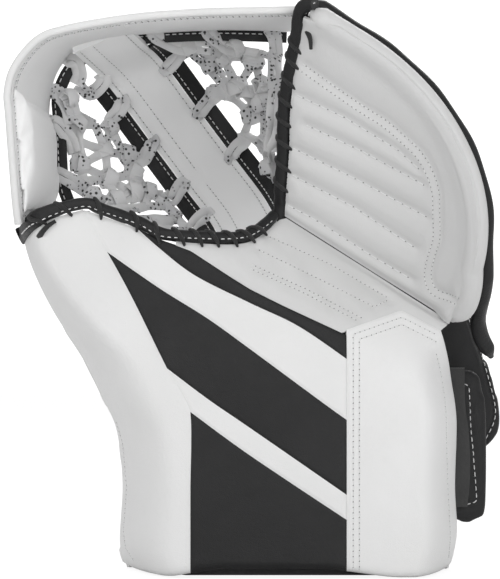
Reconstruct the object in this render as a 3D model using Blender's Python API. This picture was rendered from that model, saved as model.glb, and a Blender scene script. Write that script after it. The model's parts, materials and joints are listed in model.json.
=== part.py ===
"""Goalie catch glove for the left hand, standing on the end of its cuff.

The source works in millimetres: X to the right across the front, Y away from the front,
Z up. Shapes are drawn with the break at Y = 0, and ORIGIN then moves them so that the origin
is on the ground, in the middle of the foam's lower edge. Everything is built on two
surfaces, the front of the cuff and the front of the finger side, which meet in the break:
the valley that the glove folds on.
"""

import math

import bmesh
import bpy
from mathutils import Vector

MM = 0.001

# The break, from the pocket to the heel, as (x, z). It lies at y = 0.
BREAK_TOP = (20.0, 226.0)
BREAK_HEEL = (132.0, 155.0)
BREAK_LENGTH = math.dist(BREAK_TOP, BREAK_HEEL)
ALONG = ((BREAK_HEEL[0] - BREAK_TOP[0]) / BREAK_LENGTH, (BREAK_HEEL[1] - BREAK_TOP[1]) / BREAK_LENGTH)
ACROSS = (-ALONG[1], ALONG[0])

# Layers, as depths behind the front surface
SKIN = (0.0, 2.0)
FOAM = (4.7, 10.4)
BOARD = (12.2, 14.0)
LINING = (16.6, 18.2)
SEAM_GAP = 0.6

# Front of the cuff
CUFF_FRONT = 30.0
ORIGIN = (0.0, (FOAM[0] + FOAM[1]) / 2 - CUFF_FRONT, 0.0)
VALLEY_REACH = 55.0
THUMB_BULGE = 13.0
CURL_LEFT = 66.0
CURL_RIGHT = 62.0
CURL_POWER = 2.2
CURL_REACH_FOOT = 40.0
CURL_REACH_THUMB = 16.0
CURL_REACH_RIGHT = 28.0
CUFF_LEFT = [(0.0, -80.0), (16.0, -84.2), (53.0, -82.6), (88.0, -86.4), (109.0, -95.6),
             (138.0, -109.4), (161.0, -124.6), (185.0, -136.0), (205.0, -142.5), (240.0, -145.0)]
CUFF_RIGHT = [(0.0, 128.5), (22.0, 133.0), (52.0, 131.7), (82.0, 132.7), (102.0, 133.2),
              (140.0, 127.0), (158.0, 131.5), (240.0, 131.5)]

# Finger side: an ellipse about (RIM_CENTRE, 0) in the break's own directions
RIM_CENTRE = -12.0
RIM_ALONG = 142.5
RIM_ACROSS = 118.5
RIM_ROLL = 7.0
BINDING_HALF = 3.2
FINGER_MARGIN = 2 * RIM_ROLL

# Pocket
WALL_HEM = 3.5
WALL_BACK = 5.0
SPINE_HALF = 19.0
STRIP_WIDTH = 11.0
SPINE_THICK = 4.5
WEB_THICK = 3.0
THUMB_CUT = -165.0
FINGER_CUT = -60.0

# Outlines on the front, as (x, z)
LIP = [(-142.5, 208.5), (-125, 221), (-103, 228), (-93, 225), (-70, 217), (-56, 210), (-37, 208),
       (-14, 207), (0, 209), (11, 216), (17.5, 222.5)]
SEAM = [(-37, 0), (-37, 52), (-37, 103), (-51.5, 130), (-73.6, 175), (-88, 202), (-103, 228)]
RIGHT_SEAM_X = 60.0
BLACK_TOP = [(-37, 103), (0, 76), (60, 36)]
WIDE_LOW = [(-51.5, 130), (-25.4, 110.4), (0, 93), (60, 51.5)]
WIDE_HIGH = [(-88, 202), (-56.4, 179.8), (-26.7, 161.2), (0, 142), (42.8, 110.4), (60, 98)]
THIN_LOW = [(-70, 217), (-56.4, 204.6), (-34, 187.5), (0, 170.5), (29.8, 156.3), (60, 135.8)]
THIN_HIGH = [(-56, 210), (-36.6, 202.8), (-16.7, 189.7), (0, 179.2), (19.8, 169.3), (60, 150.7)]
PANEL_TOP = [(60, 154), (95, 166), (120, 153)]

# Rim of the pocket: its front edge, and its back edge, from thumb to finger side
RIM_FRONT = [(-144.5, -40, 219), (-146, -44, 235), (-149.5, -48, 284), (-150.3, -50, 300),
             (-145.5, -52, 316), (-131.5, -54, 332.5), (-114, -55, 339.6), (-74, -57, 346.3),
             (-35, -58, 349.5), (0, -59, 350.5), (34, -60, 351)]
RIM_BACK = [(-128, 40, 229.5), (-130.6, 45, 237), (-134.5, 48, 270), (-135, 50, 298),
            (-131, 51, 319), (-120, 52, 335), (-105, 53, 343), (-76, 53, 349), (-30, 53, 352),
            (0, 52, 352), (34, 50, 351)]
SPINE = [(-86, 44, 330), (-74, 72, 319), (-49, 93, 286), (-26, 87, 255), (-9, 62, 232),
         (0, 34, 215)]

# Padding inside the thumb side: its top at the rim's front and back edges, and its swell
THUMB_PAD_TOP = (304.0, 291.0)
THUMB_PAD_SWELL = 3.0

# Where the finger rim and its outer binding turn down to the heel, as (x, z)
RIM_TAIL = [(138, 181), (137.2, 173), (135.5, 167)]
BINDING_TAIL = [(146.8, 182), (146, 170), (145.3, 159), (148, 148.5), (152.5, 141), (155.3, 136)]

# Straps: their paths round the back of the hand as (x, y), and their lower and upper edges
STRAP_THICK = 3.0
WRIST_STRAP = [(-72, 52), (-58, 66), (-20, 77), (30, 80), (75, 76), (104, 68)]
WRIST_STRAP_EDGES = (40, 74)
BACKHAND_STRAP = [(-28, 66), (-14, 88), (12, 98), (60, 95), (100, 92), (128, 94)]
BACKHAND_STRAP_EDGES = (138, 164)

# Pads behind the hand
WRIST_PAD_THICK = 11.0
BACKHAND_PAD_THICK = 12.0
FINGER_PAD_THICK = 11.0
FINGER_PAD_BEHIND = 55.0
FELT_THICK = 2.5
FELT_PROUD = 3.5

# Sleeves for the fingers, side by side along the break, and one for the thumb
SLEEVE_FIRST = 14.0
SLEEVE_PITCH = 25.5
SLEEVE_START = 12.0
SLEEVE_ENDS = {"index_sleeve": 84, "middle_sleeve": 86, "ring_sleeve": 80, "little_sleeve": 66}
SLEEVE_HALF = 12.0
SLEEVE_DEPTHS = (32.0, 50.0)
SLEEVE_WALL = 2.0
SLEEVE_CORNER = 5.0
THUMB_SLEEVE = ((-38, 134), (-86, 182))
THUMB_SLEEVE_HALF = 13.0
THUMB_SLEEVE_DEPTHS = (28.0, 46.0)


def blend(value):
    value = min(1.0, max(0.0, value))
    return value * value * (3 - 2 * value)


def lookup(table, at):
    """Value at a place in a table of (place, value), with an even slope through its rows."""
    if at <= table[0][0]:
        return table[0][1]
    for i in range(len(table) - 1):
        (p0, v0), (p1, v1) = table[i], table[i + 1]
        if at <= p1:
            before = table[max(0, i - 1)]
            after = table[min(len(table) - 1, i + 2)]
            slope0 = (v1 - before[1]) / (p1 - before[0])
            slope1 = (after[1] - v0) / (after[0] - p0)
            t = (at - p0) / (p1 - p0)
            step = p1 - p0
            return ((2 * t**3 - 3 * t**2 + 1) * v0 + (t**3 - 2 * t**2 + t) * slope0 * step
                    + (3 * t**2 - 2 * t**3) * v1 + (t**3 - t**2) * slope1 * step)
    return table[-1][1]


def to_break(x, z):
    """(distance along the break from its pocket end, distance to its finger side)"""
    dx, dz = x - BREAK_TOP[0], z - BREAK_TOP[1]
    return dx * ALONG[0] + dz * ALONG[1], dx * ACROSS[0] + dz * ACROSS[1]


def from_break(along, across):
    return (BREAK_TOP[0] + along * ALONG[0] + across * ACROSS[0],
            BREAK_TOP[1] + along * ALONG[1] + across * ACROSS[1])


def cuff_depth(x, z):
    """Y of the cuff's front: a plateau that falls into the break and curls back at both sides."""
    _, across = to_break(x, z)
    fall = min(1.0, max(0.0, -across) / VALLEY_REACH)
    y = -CUFF_FRONT * math.sin(math.pi / 2 * fall)
    y -= THUMB_BULGE * blend((-60 - x) / 40) * blend((z - 150) / 70)
    left_reach = CURL_REACH_FOOT + (CURL_REACH_THUMB - CURL_REACH_FOOT) * blend((z - 120) / 90)
    left = max(0.0, (lookup(CUFF_LEFT, z) + left_reach - x) / left_reach)
    right = max(0.0, (x - lookup(CUFF_RIGHT, z) + CURL_REACH_RIGHT) / CURL_REACH_RIGHT)
    y += CURL_LEFT * (1 - 0.35 * blend((z - 150) / 60)) * min(1.0, left) ** CURL_POWER
    y += CURL_RIGHT * blend((158 - z) / 45) * min(1.0, right) ** CURL_POWER
    return y


def rim_reach(along, inset=0.0):
    """Distance from the break to the finger rim."""
    swing = max(0.0, along - RIM_CENTRE) / (RIM_ALONG - inset)
    return (RIM_ACROSS - inset) * math.sqrt(max(0.0, 1 - swing * swing))


def finger_depth(x, z):
    """Y of the finger side's front: a bowl that comes forward from the break to its rim."""
    along, across = to_break(x, z)
    steep = 0.66 + 0.82 * (max(0.0, along + 47) / 180) ** 4
    share = min(1.2, max(0.0, across) / max(12.0, rim_reach(along)))
    return -steep * across * (0.72 + 0.28 * share)


def behind(surface, x, z, depth):
    """The point that lies a distance behind a surface, square to it."""
    step = 1.5
    slope_x = (surface(x + step, z) - surface(x - step, z)) / (2 * step)
    slope_z = (surface(x, z + step) - surface(x, z - step)) / (2 * step)
    slope_z *= blend(z / 40 - 0.1)
    normal = Vector((-slope_x, 1.0, -slope_z)).normalized()
    return Vector((x, surface(x, z), z)) + normal * depth


def sampled(points, count):
    """count + 1 points at even distances along straight runs between the points."""
    points = [Vector(p) for p in points]
    lengths = [0.0]
    for a, b in zip(points, points[1:]):
        lengths.append(lengths[-1] + (b - a).length)
    found = []
    i = 0
    for k in range(count + 1):
        at = lengths[-1] * k / count
        while i < len(points) - 2 and lengths[i + 1] < at:
            i += 1
        found.append(points[i].lerp(points[i + 1], (at - lengths[i]) / (lengths[i + 1] - lengths[i])))
    return found


def smooth(points, count):
    """count + 1 points at even distances along a smooth curve through the points."""
    points = [Vector(p) for p in points]
    fine = []
    for i in range(len(points) - 1):
        p0 = points[max(0, i - 1)]
        p1, p2 = points[i], points[i + 1]
        p3 = points[min(len(points) - 1, i + 2)]
        for k in range(8):
            t = k / 8
            fine.append(0.5 * ((2 * p1) + (p2 - p0) * t + (2 * p0 - 5 * p1 + 4 * p2 - p3) * t**2
                               + (3 * p1 - p0 - 3 * p2 + p3) * t**3))
    fine.append(points[-1])
    return sampled(fine, count)


def patch(low, high, left, right):
    """Grid of points between four edges: low and high run left to right, left and right run up."""
    columns, rows = len(low) - 1, len(left) - 1
    grid = []
    for j in range(rows + 1):
        v = j / rows
        row = []
        for i in range(columns + 1):
            u = i / columns
            corners = ((1 - u) * (1 - v) * low[0] + u * (1 - v) * low[-1]
                       + (1 - u) * v * high[0] + u * v * high[-1])
            row.append((1 - v) * low[i] + v * high[i] + (1 - u) * left[j] + u * right[j] - corners)
        grid.append(row)
    return grid


def inset(grid, distance):
    """The grid with its edges drawn in."""
    rows, columns = len(grid), len(grid[0])
    found = [[p.copy() for p in row] for row in grid]
    for j in range(rows):
        for i in range(columns):
            if 0 < i < columns - 1 and 0 < j < rows - 1:
                continue
            inner_i = min(columns - 2, max(1, i))
            inner_j = min(rows - 2, max(1, j))
            for neighbour in {(inner_i, j), (i, inner_j)} - {(i, j)}:
                towards = grid[neighbour[1]][neighbour[0]] - grid[j][i]
                found[j][i] += towards.normalized() * distance
    return found


def material(name, colour, roughness):
    found = bpy.data.materials.get(name)
    if found:
        return found
    found = bpy.data.materials.new(name)
    found.use_nodes = True
    shader = found.node_tree.nodes["Principled BSDF"]
    shader.inputs["Base Color"].default_value = (*colour, 1.0)
    shader.inputs["Roughness"].default_value = roughness
    shader.inputs["Metallic"].default_value = 0.0
    return found


MATERIALS = {
    "white_leather": ((0.86, 0.86, 0.86), 0.45),
    "black_leather": ((0.03, 0.03, 0.03), 0.42),
    "black_binding": ((0.02, 0.02, 0.02), 0.6),
    "lace": ((0.8, 0.8, 0.8), 0.75),
    "foam": ((0.25, 0.25, 0.27), 0.9),
    "board": ((0.12, 0.12, 0.13), 0.5),
    "lining": ((0.16, 0.16, 0.17), 0.9),
    "felt": ((0.2, 0.2, 0.2), 0.95),
    "webbing": ((0.04, 0.04, 0.04), 0.8),
}


def add_object(name, mesh, kind, parent=None):
    obj = bpy.data.objects.new(name, mesh)
    bpy.context.scene.collection.objects.link(obj)
    mesh.materials.append(material(kind, *MATERIALS[kind]))
    if parent:
        obj.parent = parent
        obj.matrix_parent_inverse = parent.matrix_world.inverted()
    return obj


def solid(name, vertices, faces, kind, parent=None):
    mesh = bpy.data.meshes.new(name)
    mesh.from_pydata([tuple((Vector(v) - Vector(ORIGIN)) * MM) for v in vertices], [], faces)
    work = bmesh.new()
    work.from_mesh(mesh)
    bmesh.ops.recalc_face_normals(work, faces=work.faces)
    if work.calc_volume(signed=True) < 0:
        bmesh.ops.reverse_faces(work, faces=work.faces)
    work.to_mesh(mesh)
    work.free()
    mesh.shade_smooth()
    mesh.set_sharp_from_angle(angle=math.radians(40))
    return add_object(name, mesh, kind, parent)


def sheet(name, front, back, kind, parent=None):
    """Closed solid between two grids of points."""
    rows, columns = len(front), len(front[0])
    vertices = [p for row in front for p in row] + [p for row in back for p in row]
    half = rows * columns
    faces = []
    for j in range(rows - 1):
        for i in range(columns - 1):
            a, b = j * columns + i, j * columns + i + 1
            c, d = b + columns, a + columns
            faces.append((a, b, c, d))
            faces.append((half + a, half + d, half + c, half + b))
    edge = [i for i in range(columns)]
    edge += [j * columns + columns - 1 for j in range(1, rows)]
    edge += [(rows - 1) * columns + i for i in range(columns - 2, -1, -1)]
    edge += [j * columns for j in range(rows - 2, 0, -1)]
    for k, a in enumerate(edge):
        b = edge[(k + 1) % len(edge)]
        faces.append((a, half + a, half + b, b))
    return solid(name, vertices, faces, kind, parent)


def layer(name, grid, surface, depths, kind, parent=None):
    """Part of a thick board: the solid between two depths behind a surface."""
    front = [[behind(surface, p[0], p[1], depths[0]) for p in row] for row in grid]
    back = [[behind(surface, p[0], p[1], depths[1]) for p in row] for row in grid]
    return sheet(name, front, back, kind, parent)


def roll(name, path, half_wide, half_deep, kind, parent=None, sides=8):
    """Rounded strip along a path, half_wide across it and half_deep in Y."""
    path = [Vector(p) for p in path]
    vertices, faces = [], []
    for k, point in enumerate(path):
        run = path[min(k + 1, len(path) - 1)] - path[max(k - 1, 0)]
        side = Vector((run.z, 0.0, -run.x)).normalized()
        deep = side.cross(run).normalized()
        for s in range(sides):
            turn = 2 * math.pi * (s + 0.5) / sides
            vertices.append(point + side * math.cos(turn) * half_wide + deep * math.sin(turn) * half_deep)
    for k in range(len(path) - 1):
        for s in range(sides):
            a, b = k * sides + s, k * sides + (s + 1) % sides
            faces.append((a, b, b + sides, a + sides))
    faces.append(tuple(range(sides)))
    faces.append(tuple(range(len(vertices) - 1, len(vertices) - sides - 1, -1)))
    return solid(name, vertices, faces, kind, parent)


def empty(name, location):
    found = bpy.data.objects.new(name, None)
    found.location = (Vector(location) - Vector(ORIGIN)) * MM
    bpy.context.scene.collection.objects.link(found)
    bpy.context.view_layer.update()
    return found


# ---- Cuff ----

def seam_part(low, high, count):
    """Points on the seam between two of its places, given by z."""
    run = [p for p in SEAM if low < p[1] < high]
    return smooth([seam_at(low)] + run + [seam_at(high)], count)


def seam_at(z):
    for (x0, z0), (x1, z1) in zip(SEAM, SEAM[1:]):
        if z <= z1:
            return (x0 + (x1 - x0) * (z - z0) / (z1 - z0), z)
    return SEAM[-1]


def cuff_panels():
    """The leather panels of the cuff's front."""
    left = smooth([(x, z) for z, x in CUFF_LEFT if z < 203] + [LIP[0]], 12)
    seam = smooth(SEAM, 12)
    panel = patch(sampled([left[0], seam[0]], 8), smooth(LIP[:3], 8), left, seam)
    layer("thumb_panel", inset(panel, SEAM_GAP), cuff_depth, SKIN, "white_leather")

    right_x = RIGHT_SEAM_X
    strips = [
        ("cuff_lower_panel", [(-37, 0), (60, 0)], BLACK_TOP, (0, 103), (0, 36), "black_leather"),
        ("cuff_lower_stripe", BLACK_TOP, WIDE_LOW, (103, 130), (36, 51.5), "white_leather"),
        ("cuff_wide_stripe", WIDE_LOW, WIDE_HIGH, (130, 202), (51.5, 98), "black_leather"),
    ]
    for name, low, high, left_z, right_z, kind in strips:
        grid = patch(smooth(low, 7), smooth(high, 7), seam_part(*left_z, 5),
                     sampled([(right_x, right_z[0]), (right_x, right_z[1])], 5))
        layer(name, inset(grid, SEAM_GAP), cuff_depth, SKIN, kind)
    grid = patch(smooth(WIDE_HIGH, 8), smooth(THIN_LOW, 8),
                 sampled([SEAM[-2], SEAM[-1], LIP[3], LIP[4]], 4),
                 sampled([(right_x, 98), (right_x, 135.8)], 4))
    layer("cuff_middle_stripe", inset(grid, SEAM_GAP), cuff_depth, SKIN, "white_leather")
    grid = patch(smooth(THIN_LOW, 8), smooth(THIN_HIGH, 8), sampled([LIP[4], LIP[5]], 2),
                 sampled([(right_x, 135.8), (right_x, 150.7)], 2))
    layer("cuff_thin_stripe", inset(grid, SEAM_GAP), cuff_depth, SKIN, "black_leather")


def upper_palm():
    """Quilted leather between the thin stripe and the break."""
    break_edge = [from_break(along, -1.0) for along in (2, 40, 80, 110, 126)]
    start_low, start_high = (-46, 206.3), (-46, 209)
    clear = 1.2
    low = [start_low] + [(x, z + clear) for x, z in THIN_HIGH[1:]]
    low = smooth(low, 6)[:-1] + sampled([(x, z + clear) for x, z in PANEL_TOP], 6)
    high = smooth([start_high] + LIP[6:], 6)[:-1] + sampled(break_edge, 6)
    grid = patch(low, high, sampled([start_low, start_high], 3),
                 sampled([low[-1], high[-1]], 3))
    layer("palm_upper_panel", inset(grid, SEAM_GAP), cuff_depth, SKIN, "white_leather")


def right_panel():
    edge = smooth([(x, z) for z, x in CUFF_RIGHT if z < 130] + [PANEL_TOP[-1]], 8)
    grid = patch(sampled([(RIGHT_SEAM_X, 0), edge[0]], 9), sampled(PANEL_TOP, 9),
                 sampled([(RIGHT_SEAM_X, 0), PANEL_TOP[0]], 8), edge)
    layer("cuff_right_panel", inset(grid, SEAM_GAP), cuff_depth, SKIN, "white_leather")


def cuff_core():
    """Foam, stiffening board and lining behind the cuff's leather, each in one piece."""
    heel = [from_break(along, -1.6) for along in (8, 50, 90, 125)]
    left = smooth([(x, z) for z, x in CUFF_LEFT if z < 203] + [LIP[0]], 12)
    right = smooth([(x, z) for z, x in CUFF_RIGHT if z < 130] + [heel[-1]], 12)
    high = smooth(LIP[:-1], 11)[:-1] + smooth([LIP[-2]] + heel[1:], 7)
    grid = patch(sampled([left[0], right[0]], len(high) - 1), high, left, right)
    for name, depths, kind, margin in (
        ("cuff_foam", FOAM, "foam", 2.0),
        ("cuff_board", BOARD, "board", 2.7),
        ("cuff_lining", LINING, "lining", 2.7),
    ):
        drawn = inset(grid, margin)
        for point in drawn[0]:
            point[1] = 0.0
        layer(name, drawn, cuff_depth, depths, kind)


def lip_binding():
    """Black leather folded over the pocket edge of the cuff."""
    path = [behind(cuff_depth, x, z + 4.4, 1.0) for x, z in smooth(LIP, 22)]
    path = [p for p in path if p.x < 12]
    roll("lip_binding", path, BINDING_HALF, 5.0, "black_binding")


# ---- Thumb ----

def nearest(points, level):
    """Where a path last crosses a plane square to the break."""
    for k in range(len(points) - 1, 0, -1):
        first, second = (to_break(p.x, p.z)[0] for p in points[k - 1:k + 1])
        if min(first, second) <= level <= max(first, second):
            return k, points[k - 1].lerp(points[k], (level - first) / (second - first))
    return None


def run_before(points, level, count):
    k, end = nearest(points, level)
    return sampled(points[:k] + [end], count)


def run_between(points, low, high, count):
    k, start = nearest(points, low)
    m, end = nearest(points, high)
    return sampled([start] + points[k:m] + [end], count)


def rim_edges():
    """Outer front, outer back, inner back and inner front edges of the pocket's rim."""
    front = smooth(RIM_FRONT, 60)
    back = smooth(RIM_BACK, 60)

    def inward(path, distance):
        found = []
        for k, point in enumerate(path):
            run = path[min(k + 1, len(path) - 1)] - path[max(k - 1, 0)]
            found.append(point + Vector((run.z, 0, -run.x)).normalized() * distance)
        return found

    return front, back, inward(back, WALL_BACK), inward(front, WALL_HEM)


def rim_wall(name, run, count, parent=None):
    """Padded strip between the rim's front and back edges."""
    outer_front, outer_back, inner_back, inner_front = (run(edge, count) for edge in rim_edges())
    bow = 1.5
    front, back = [], []
    for k in range(count + 1):
        out = (outer_back[k] - inner_back[k]).normalized() * bow
        front.append([outer_front[k].lerp(outer_back[k], t) + out * 4 * t * (1 - t)
                      for t in (0, 0.33, 0.66, 1)])
        back.append([inner_front[k].lerp(inner_back[k], t) - out * 4 * t * (1 - t)
                     for t in (0, 0.33, 0.66, 1)])
    sheet(name, front, back, "white_leather", parent)


def thumb_pad():
    """Firm padding inside the thumb side of the rim, up to the fold at its top."""
    _, _, inner_back, inner_front = rim_edges()
    rows = 10
    near = sampled([p for p in inner_front[2:30] if p.z < THUMB_PAD_TOP[0]], rows)
    far = sampled([p for p in inner_back[2:30] if p.z < THUMB_PAD_TOP[1]], rows)
    front, back = [], []
    for k in range(rows + 1):
        over = max(0.0, (k / rows - 0.7) / 0.3)
        full = math.sqrt(max(0.0, 1 - over * over))
        f_row, b_row = [], []
        for t in (0.04, 0.3, 0.6, 0.9):
            wall = near[k].lerp(far[k], t)
            b_row.append(wall + Vector((1.6, 0, 0)))
            f_row.append(wall + Vector((4.0 + (1.0 + THUMB_PAD_SWELL * math.sin(math.pi * t)) * full, 0, 0)))
        front.append(f_row)
        back.append(b_row)
    sheet("thumb_pad", front, back, "white_leather")


def thumb_strip():
    """Black strip round the inside of the rim's back edge, which the pocket lace passes round."""
    path = [p + Vector((1.2, 0, -0.8)) for p in
            smooth([(-119, 45, 236), (-124, 47, 250), (-126.5, 49, 285), (-124.5, 50, 309),
                    (-121, 50, 318)], 10)]
    strip_sheet("thumb_lace_strip", path, STRIP_WIDTH - 4, "black_leather")


def strip_sheet(name, path, width, kind, parent=None, thick=2.0):
    """Flat strip that faces forward, with its outer edge on the path."""
    front, back = [], []
    for k, point in enumerate(path):
        run = path[min(k + 1, len(path) - 1)] - path[max(k - 1, 0)]
        inside = Vector((run.z, 0, -run.x)).normalized()
        front.append([point, point + inside * width])
        back.append([p + Vector((0, thick, 0)) for p in front[-1]])
    sheet(name, front, back, kind, parent)


# ---- Pocket ----

def spine_rows(count):
    """(point, direction across, direction behind) down the middle of the pocket."""
    path = smooth(SPINE, count)
    rows = []
    for k, point in enumerate(path):
        run = (path[min(k + 1, count)] - path[max(k - 1, 0)]).normalized()
        turn = lookup([(0, 0.35), (0.3, 0.6), (0.6, 0.62), (1, 0.42)], k / count)
        across = Vector((math.cos(turn), 0, math.sin(turn)))
        across = (across - run * across.dot(run)).normalized()
        rows.append((point, across, run.cross(across).normalized()))
    if rows[0][2].y < 0:
        rows = [(p, a, -b) for p, a, b in rows]
    return rows


def spine_band(name, low, high, columns, thick, kind, parent, first=0):
    front, back = [], []
    for point, across, depth in spine_rows(12)[first:]:
        row = [point + across * (low + (high - low) * i / columns) for i in range(columns + 1)]
        front.append(row)
        back.append([p + depth * thick for p in row])
    sheet(name, front, back, kind, parent)


def web(name, spine_side, first, edge, parent=None):
    """Laced web between one side of the spine and the glove's edge."""
    rows = [point + across * spine_side for point, across, _ in spine_rows(12)[first:]]
    edge = smooth(edge, len(rows) - 1)
    front, back = [], []
    for inner, outer in zip(rows, edge):
        row = []
        for i in range(5):
            t = i / 4
            row.append(outer.lerp(inner, t) + Vector((0, 5 * math.sin(math.pi * t), 0)))
        front.append(row)
        back.append([p + Vector((0, WEB_THICK, 0)) for p in row])
    sheet(name, front, back, "lace", parent)


def pocket(parent):
    half = SPINE_HALF
    outside = half + 0.5 + STRIP_WIDTH
    spine_band("pocket_spine", -half, half, 4, SPINE_THICK, "white_leather", parent)
    spine_band("spine_strip_left", -outside, -half - 0.5, 1, 2.5, "black_leather", parent, 2)
    spine_band("spine_strip_right", half + 0.5, outside, 1, 2.5, "black_leather", parent, 1)
    rim_wall("crown_rim", lambda p, n: run_between(p, THUMB_CUT + 0.5, FINGER_CUT, n), 12, parent)
    path = smooth([(-60, 50, 343.5), (-30, 50, 344.8), (0, 50, 344.6), (21, 49, 343.6)], 6)
    strip_sheet("crown_lace_strip", path, STRIP_WIDTH - 4, "black_leather", parent)
    web("pocket_web_left", -outside - 1.0, 2,
        [(-113, 47, 316), (-116, 45, 298), (-118, 42, 270), (-113, 30, 245), (-90, 8, 225),
         (-55, 2, 213), (-32, 12, 206)])
    web("pocket_web_right", outside + 1.0, 1,
        [(-45, 50, 335), (-12, 50, 336), (14, 44, 333), (17, 12, 306), (14, 6, 280),
         (12, 12, 256), (11, 24, 236)], parent)


# ---- Finger side ----

def finger_grid(margin, columns, rows):
    """Grid over the finger side: from the break up, from the pocket to the heel."""
    foot = 1.2
    low = sampled([from_break(2, foot), from_break(126, foot)], columns)
    left = smooth([from_break(2, foot), from_break(-17, 35), from_break(-27, 52),
                   from_break(-33, 64), from_break(-46, 98 + 10 - margin * 0.7)], rows)
    start = to_break(*left[-1])[0]
    rim = []
    last = RIM_CENTRE + (RIM_ALONG - margin) * 0.985
    for k in range(25):
        turn = math.pi / 2 * k / 24
        along = RIM_CENTRE + (last - RIM_CENTRE) * math.sin(turn)
        rim.append(from_break(along, rim_reach(along, margin)))
    rim = [tuple(left[-1])] + [from_break((start + RIM_CENTRE) / 2, RIM_ACROSS - margin)] + rim
    rim[-1] = from_break(last, rim_reach(last, margin))
    high = sampled(rim, columns)
    right = sampled([low[-1], high[-1]], rows)
    return patch(low, high, left, right)


def rim_path(inset_by, depth, start, end, count, tail):
    """Points along the finger rim between two places on the break, and on along its tail."""
    found = []
    reach = RIM_ALONG - inset_by
    first = min(0.0, start - RIM_CENTRE)
    fine = []
    if first < 0:
        fine += [from_break(start + (RIM_CENTRE - start) * k / 4, RIM_ACROSS - inset_by)
                 for k in range(4)]
    for k in range(41):
        along = RIM_CENTRE + reach * math.sin(math.pi / 2 * k / 40)
        if along <= end:
            fine.append(from_break(along, rim_reach(along, inset_by)))
    fine += [tuple(p) for p in smooth([fine[-1]] + tail, 12)[1:]]
    for x, z in sampled(fine, count):
        along, across = to_break(x, z)
        inner = from_break(along, across - RIM_ROLL + inset_by)
        found.append(Vector((x, finger_depth(*inner) + depth, z)))
    return found


def finger_side(parent):
    grid = finger_grid(FINGER_MARGIN, 10, 7)
    layer("finger_palm_panel", inset(grid, 0.4), finger_depth, SKIN, "white_leather", parent)
    layer("finger_foam", inset(grid, 1.5), finger_depth, FOAM, "foam", parent)
    layer("finger_board", inset(grid, 2.5), finger_depth, BOARD, "board", parent)
    layer("finger_lining", inset(grid, 5.0), finger_depth, LINING, "lining", parent)
    roll("finger_rim_roll", rim_path(RIM_ROLL, 4, -46, 117, 23, RIM_TAIL), RIM_ROLL - 0.4, RIM_ROLL - 0.4,
         "white_leather", parent)
    roll("finger_outer_binding", rim_path(0.0, 21, -50, 112, 26, BINDING_TAIL), 4.8, 5.8, "black_binding",
         parent)
    path = [from_break(-8, 12), from_break(-20.5, 35), from_break(-31, 52), from_break(-38, 66),
            from_break(-50, 96), from_break(-56, 110)]
    path = [Vector((x, finger_depth(x, z) + 5, z)) for x, z in smooth(path, 12)]
    roll("finger_binding", path, BINDING_HALF, 6.5, "black_binding", parent)


def channel(name, start, end, half, depths, surface, parent=None):
    """Sleeve for one finger: a channel that is open towards the board and at both ends."""
    start, end = Vector(start), Vector(end)
    run = (end - start).normalized()
    side = Vector((-run.y, run.x))
    near, far = depths
    wall, corner = SLEEVE_WALL, SLEEVE_CORNER
    outer = [(-half, near), (-half, far - corner), (-half + corner, far), (half - corner, far),
             (half, far - corner), (half, near)]
    corner += 0.5
    inner = [(-half + wall, near), (-half + wall, far - corner), (-half + corner, far - wall),
             (half - corner, far - wall), (half - wall, far - corner), (half - wall, near)]
    grids = []
    for profile in (inner, outer):
        grid = []
        for k in range(6):
            middle = start.lerp(end, k / 5)
            base = Vector((middle.x, surface(middle.x, middle.y), middle.y))
            grid.append([base + Vector((side.x * q, d, side.y * q)) for q, d in profile])
        grids.append(grid)
    sheet(name, grids[0], grids[1], "lining", parent)


def finger_sleeves(parent):
    for k, (name, end) in enumerate(SLEEVE_ENDS.items()):
        along = SLEEVE_FIRST + SLEEVE_PITCH * k
        channel(name, from_break(along, SLEEVE_START), from_break(along, end), SLEEVE_HALF, SLEEVE_DEPTHS,
                finger_depth, parent)
    low = sampled([from_break(2, 14), from_break(104, 14)], 8)
    high = smooth([from_break(0, 88), from_break(30, 94), from_break(70, 86), from_break(100, 62)], 8)
    grid = patch(low, high, sampled([low[0], high[0]], 6), sampled([low[-1], high[-1]], 6))
    flat = [[Vector((p[0], finger_depth(p[0], p[1]) + FINGER_PAD_BEHIND, p[1])) for p in row]
            for row in grid]
    deep = [[p + Vector((0, FINGER_PAD_THICK, 0)) for p in row] for row in flat]
    sheet("finger_back_pad", flat, deep, "black_leather", parent)


# ---- Back of the cuff ----

def back_sheet(name, low, high, left, right, depth_at, thick, kind, parent=None):
    grid = patch(low, high, left, right)
    front = [[Vector((p[0], depth_at(p[0], p[1]), p[1])) for p in row] for row in grid]
    back = [[p + Vector((0, thick, 0)) for p in row] for row in front]
    sheet(name, front, back, kind, parent)


def wrist_pad():
    """Pad on the heel side of the wrist, with its felt facing."""
    def face(x, z):
        return 52 + 0.00036 * (x - 60) ** 2

    low = smooth([(66, 62), (90, 40), (120, 31), (142, 31), (152, 38)], 8)
    high = smooth([(66, 128), (95, 132), (125, 130), (150, 124)], 8)
    left = sampled([low[0], high[0]], 6)
    right = smooth([low[-1], (155.5, 60), (154, 95), high[-1]], 6)
    back_sheet("wrist_pad", low, high, left, right, face, WRIST_PAD_THICK, "black_leather")
    low = sampled([(108, 40), (139, 40)], 3)
    high = sampled([(108, 127), (141, 127)], 3)
    back_sheet("wrist_felt", low, high, sampled([low[0], high[0]], 4),
               smooth([low[-1], (139.5, 80), high[-1]], 4), lambda x, z: face(x, z) - FELT_PROUD,
               FELT_THICK, "felt")


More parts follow.
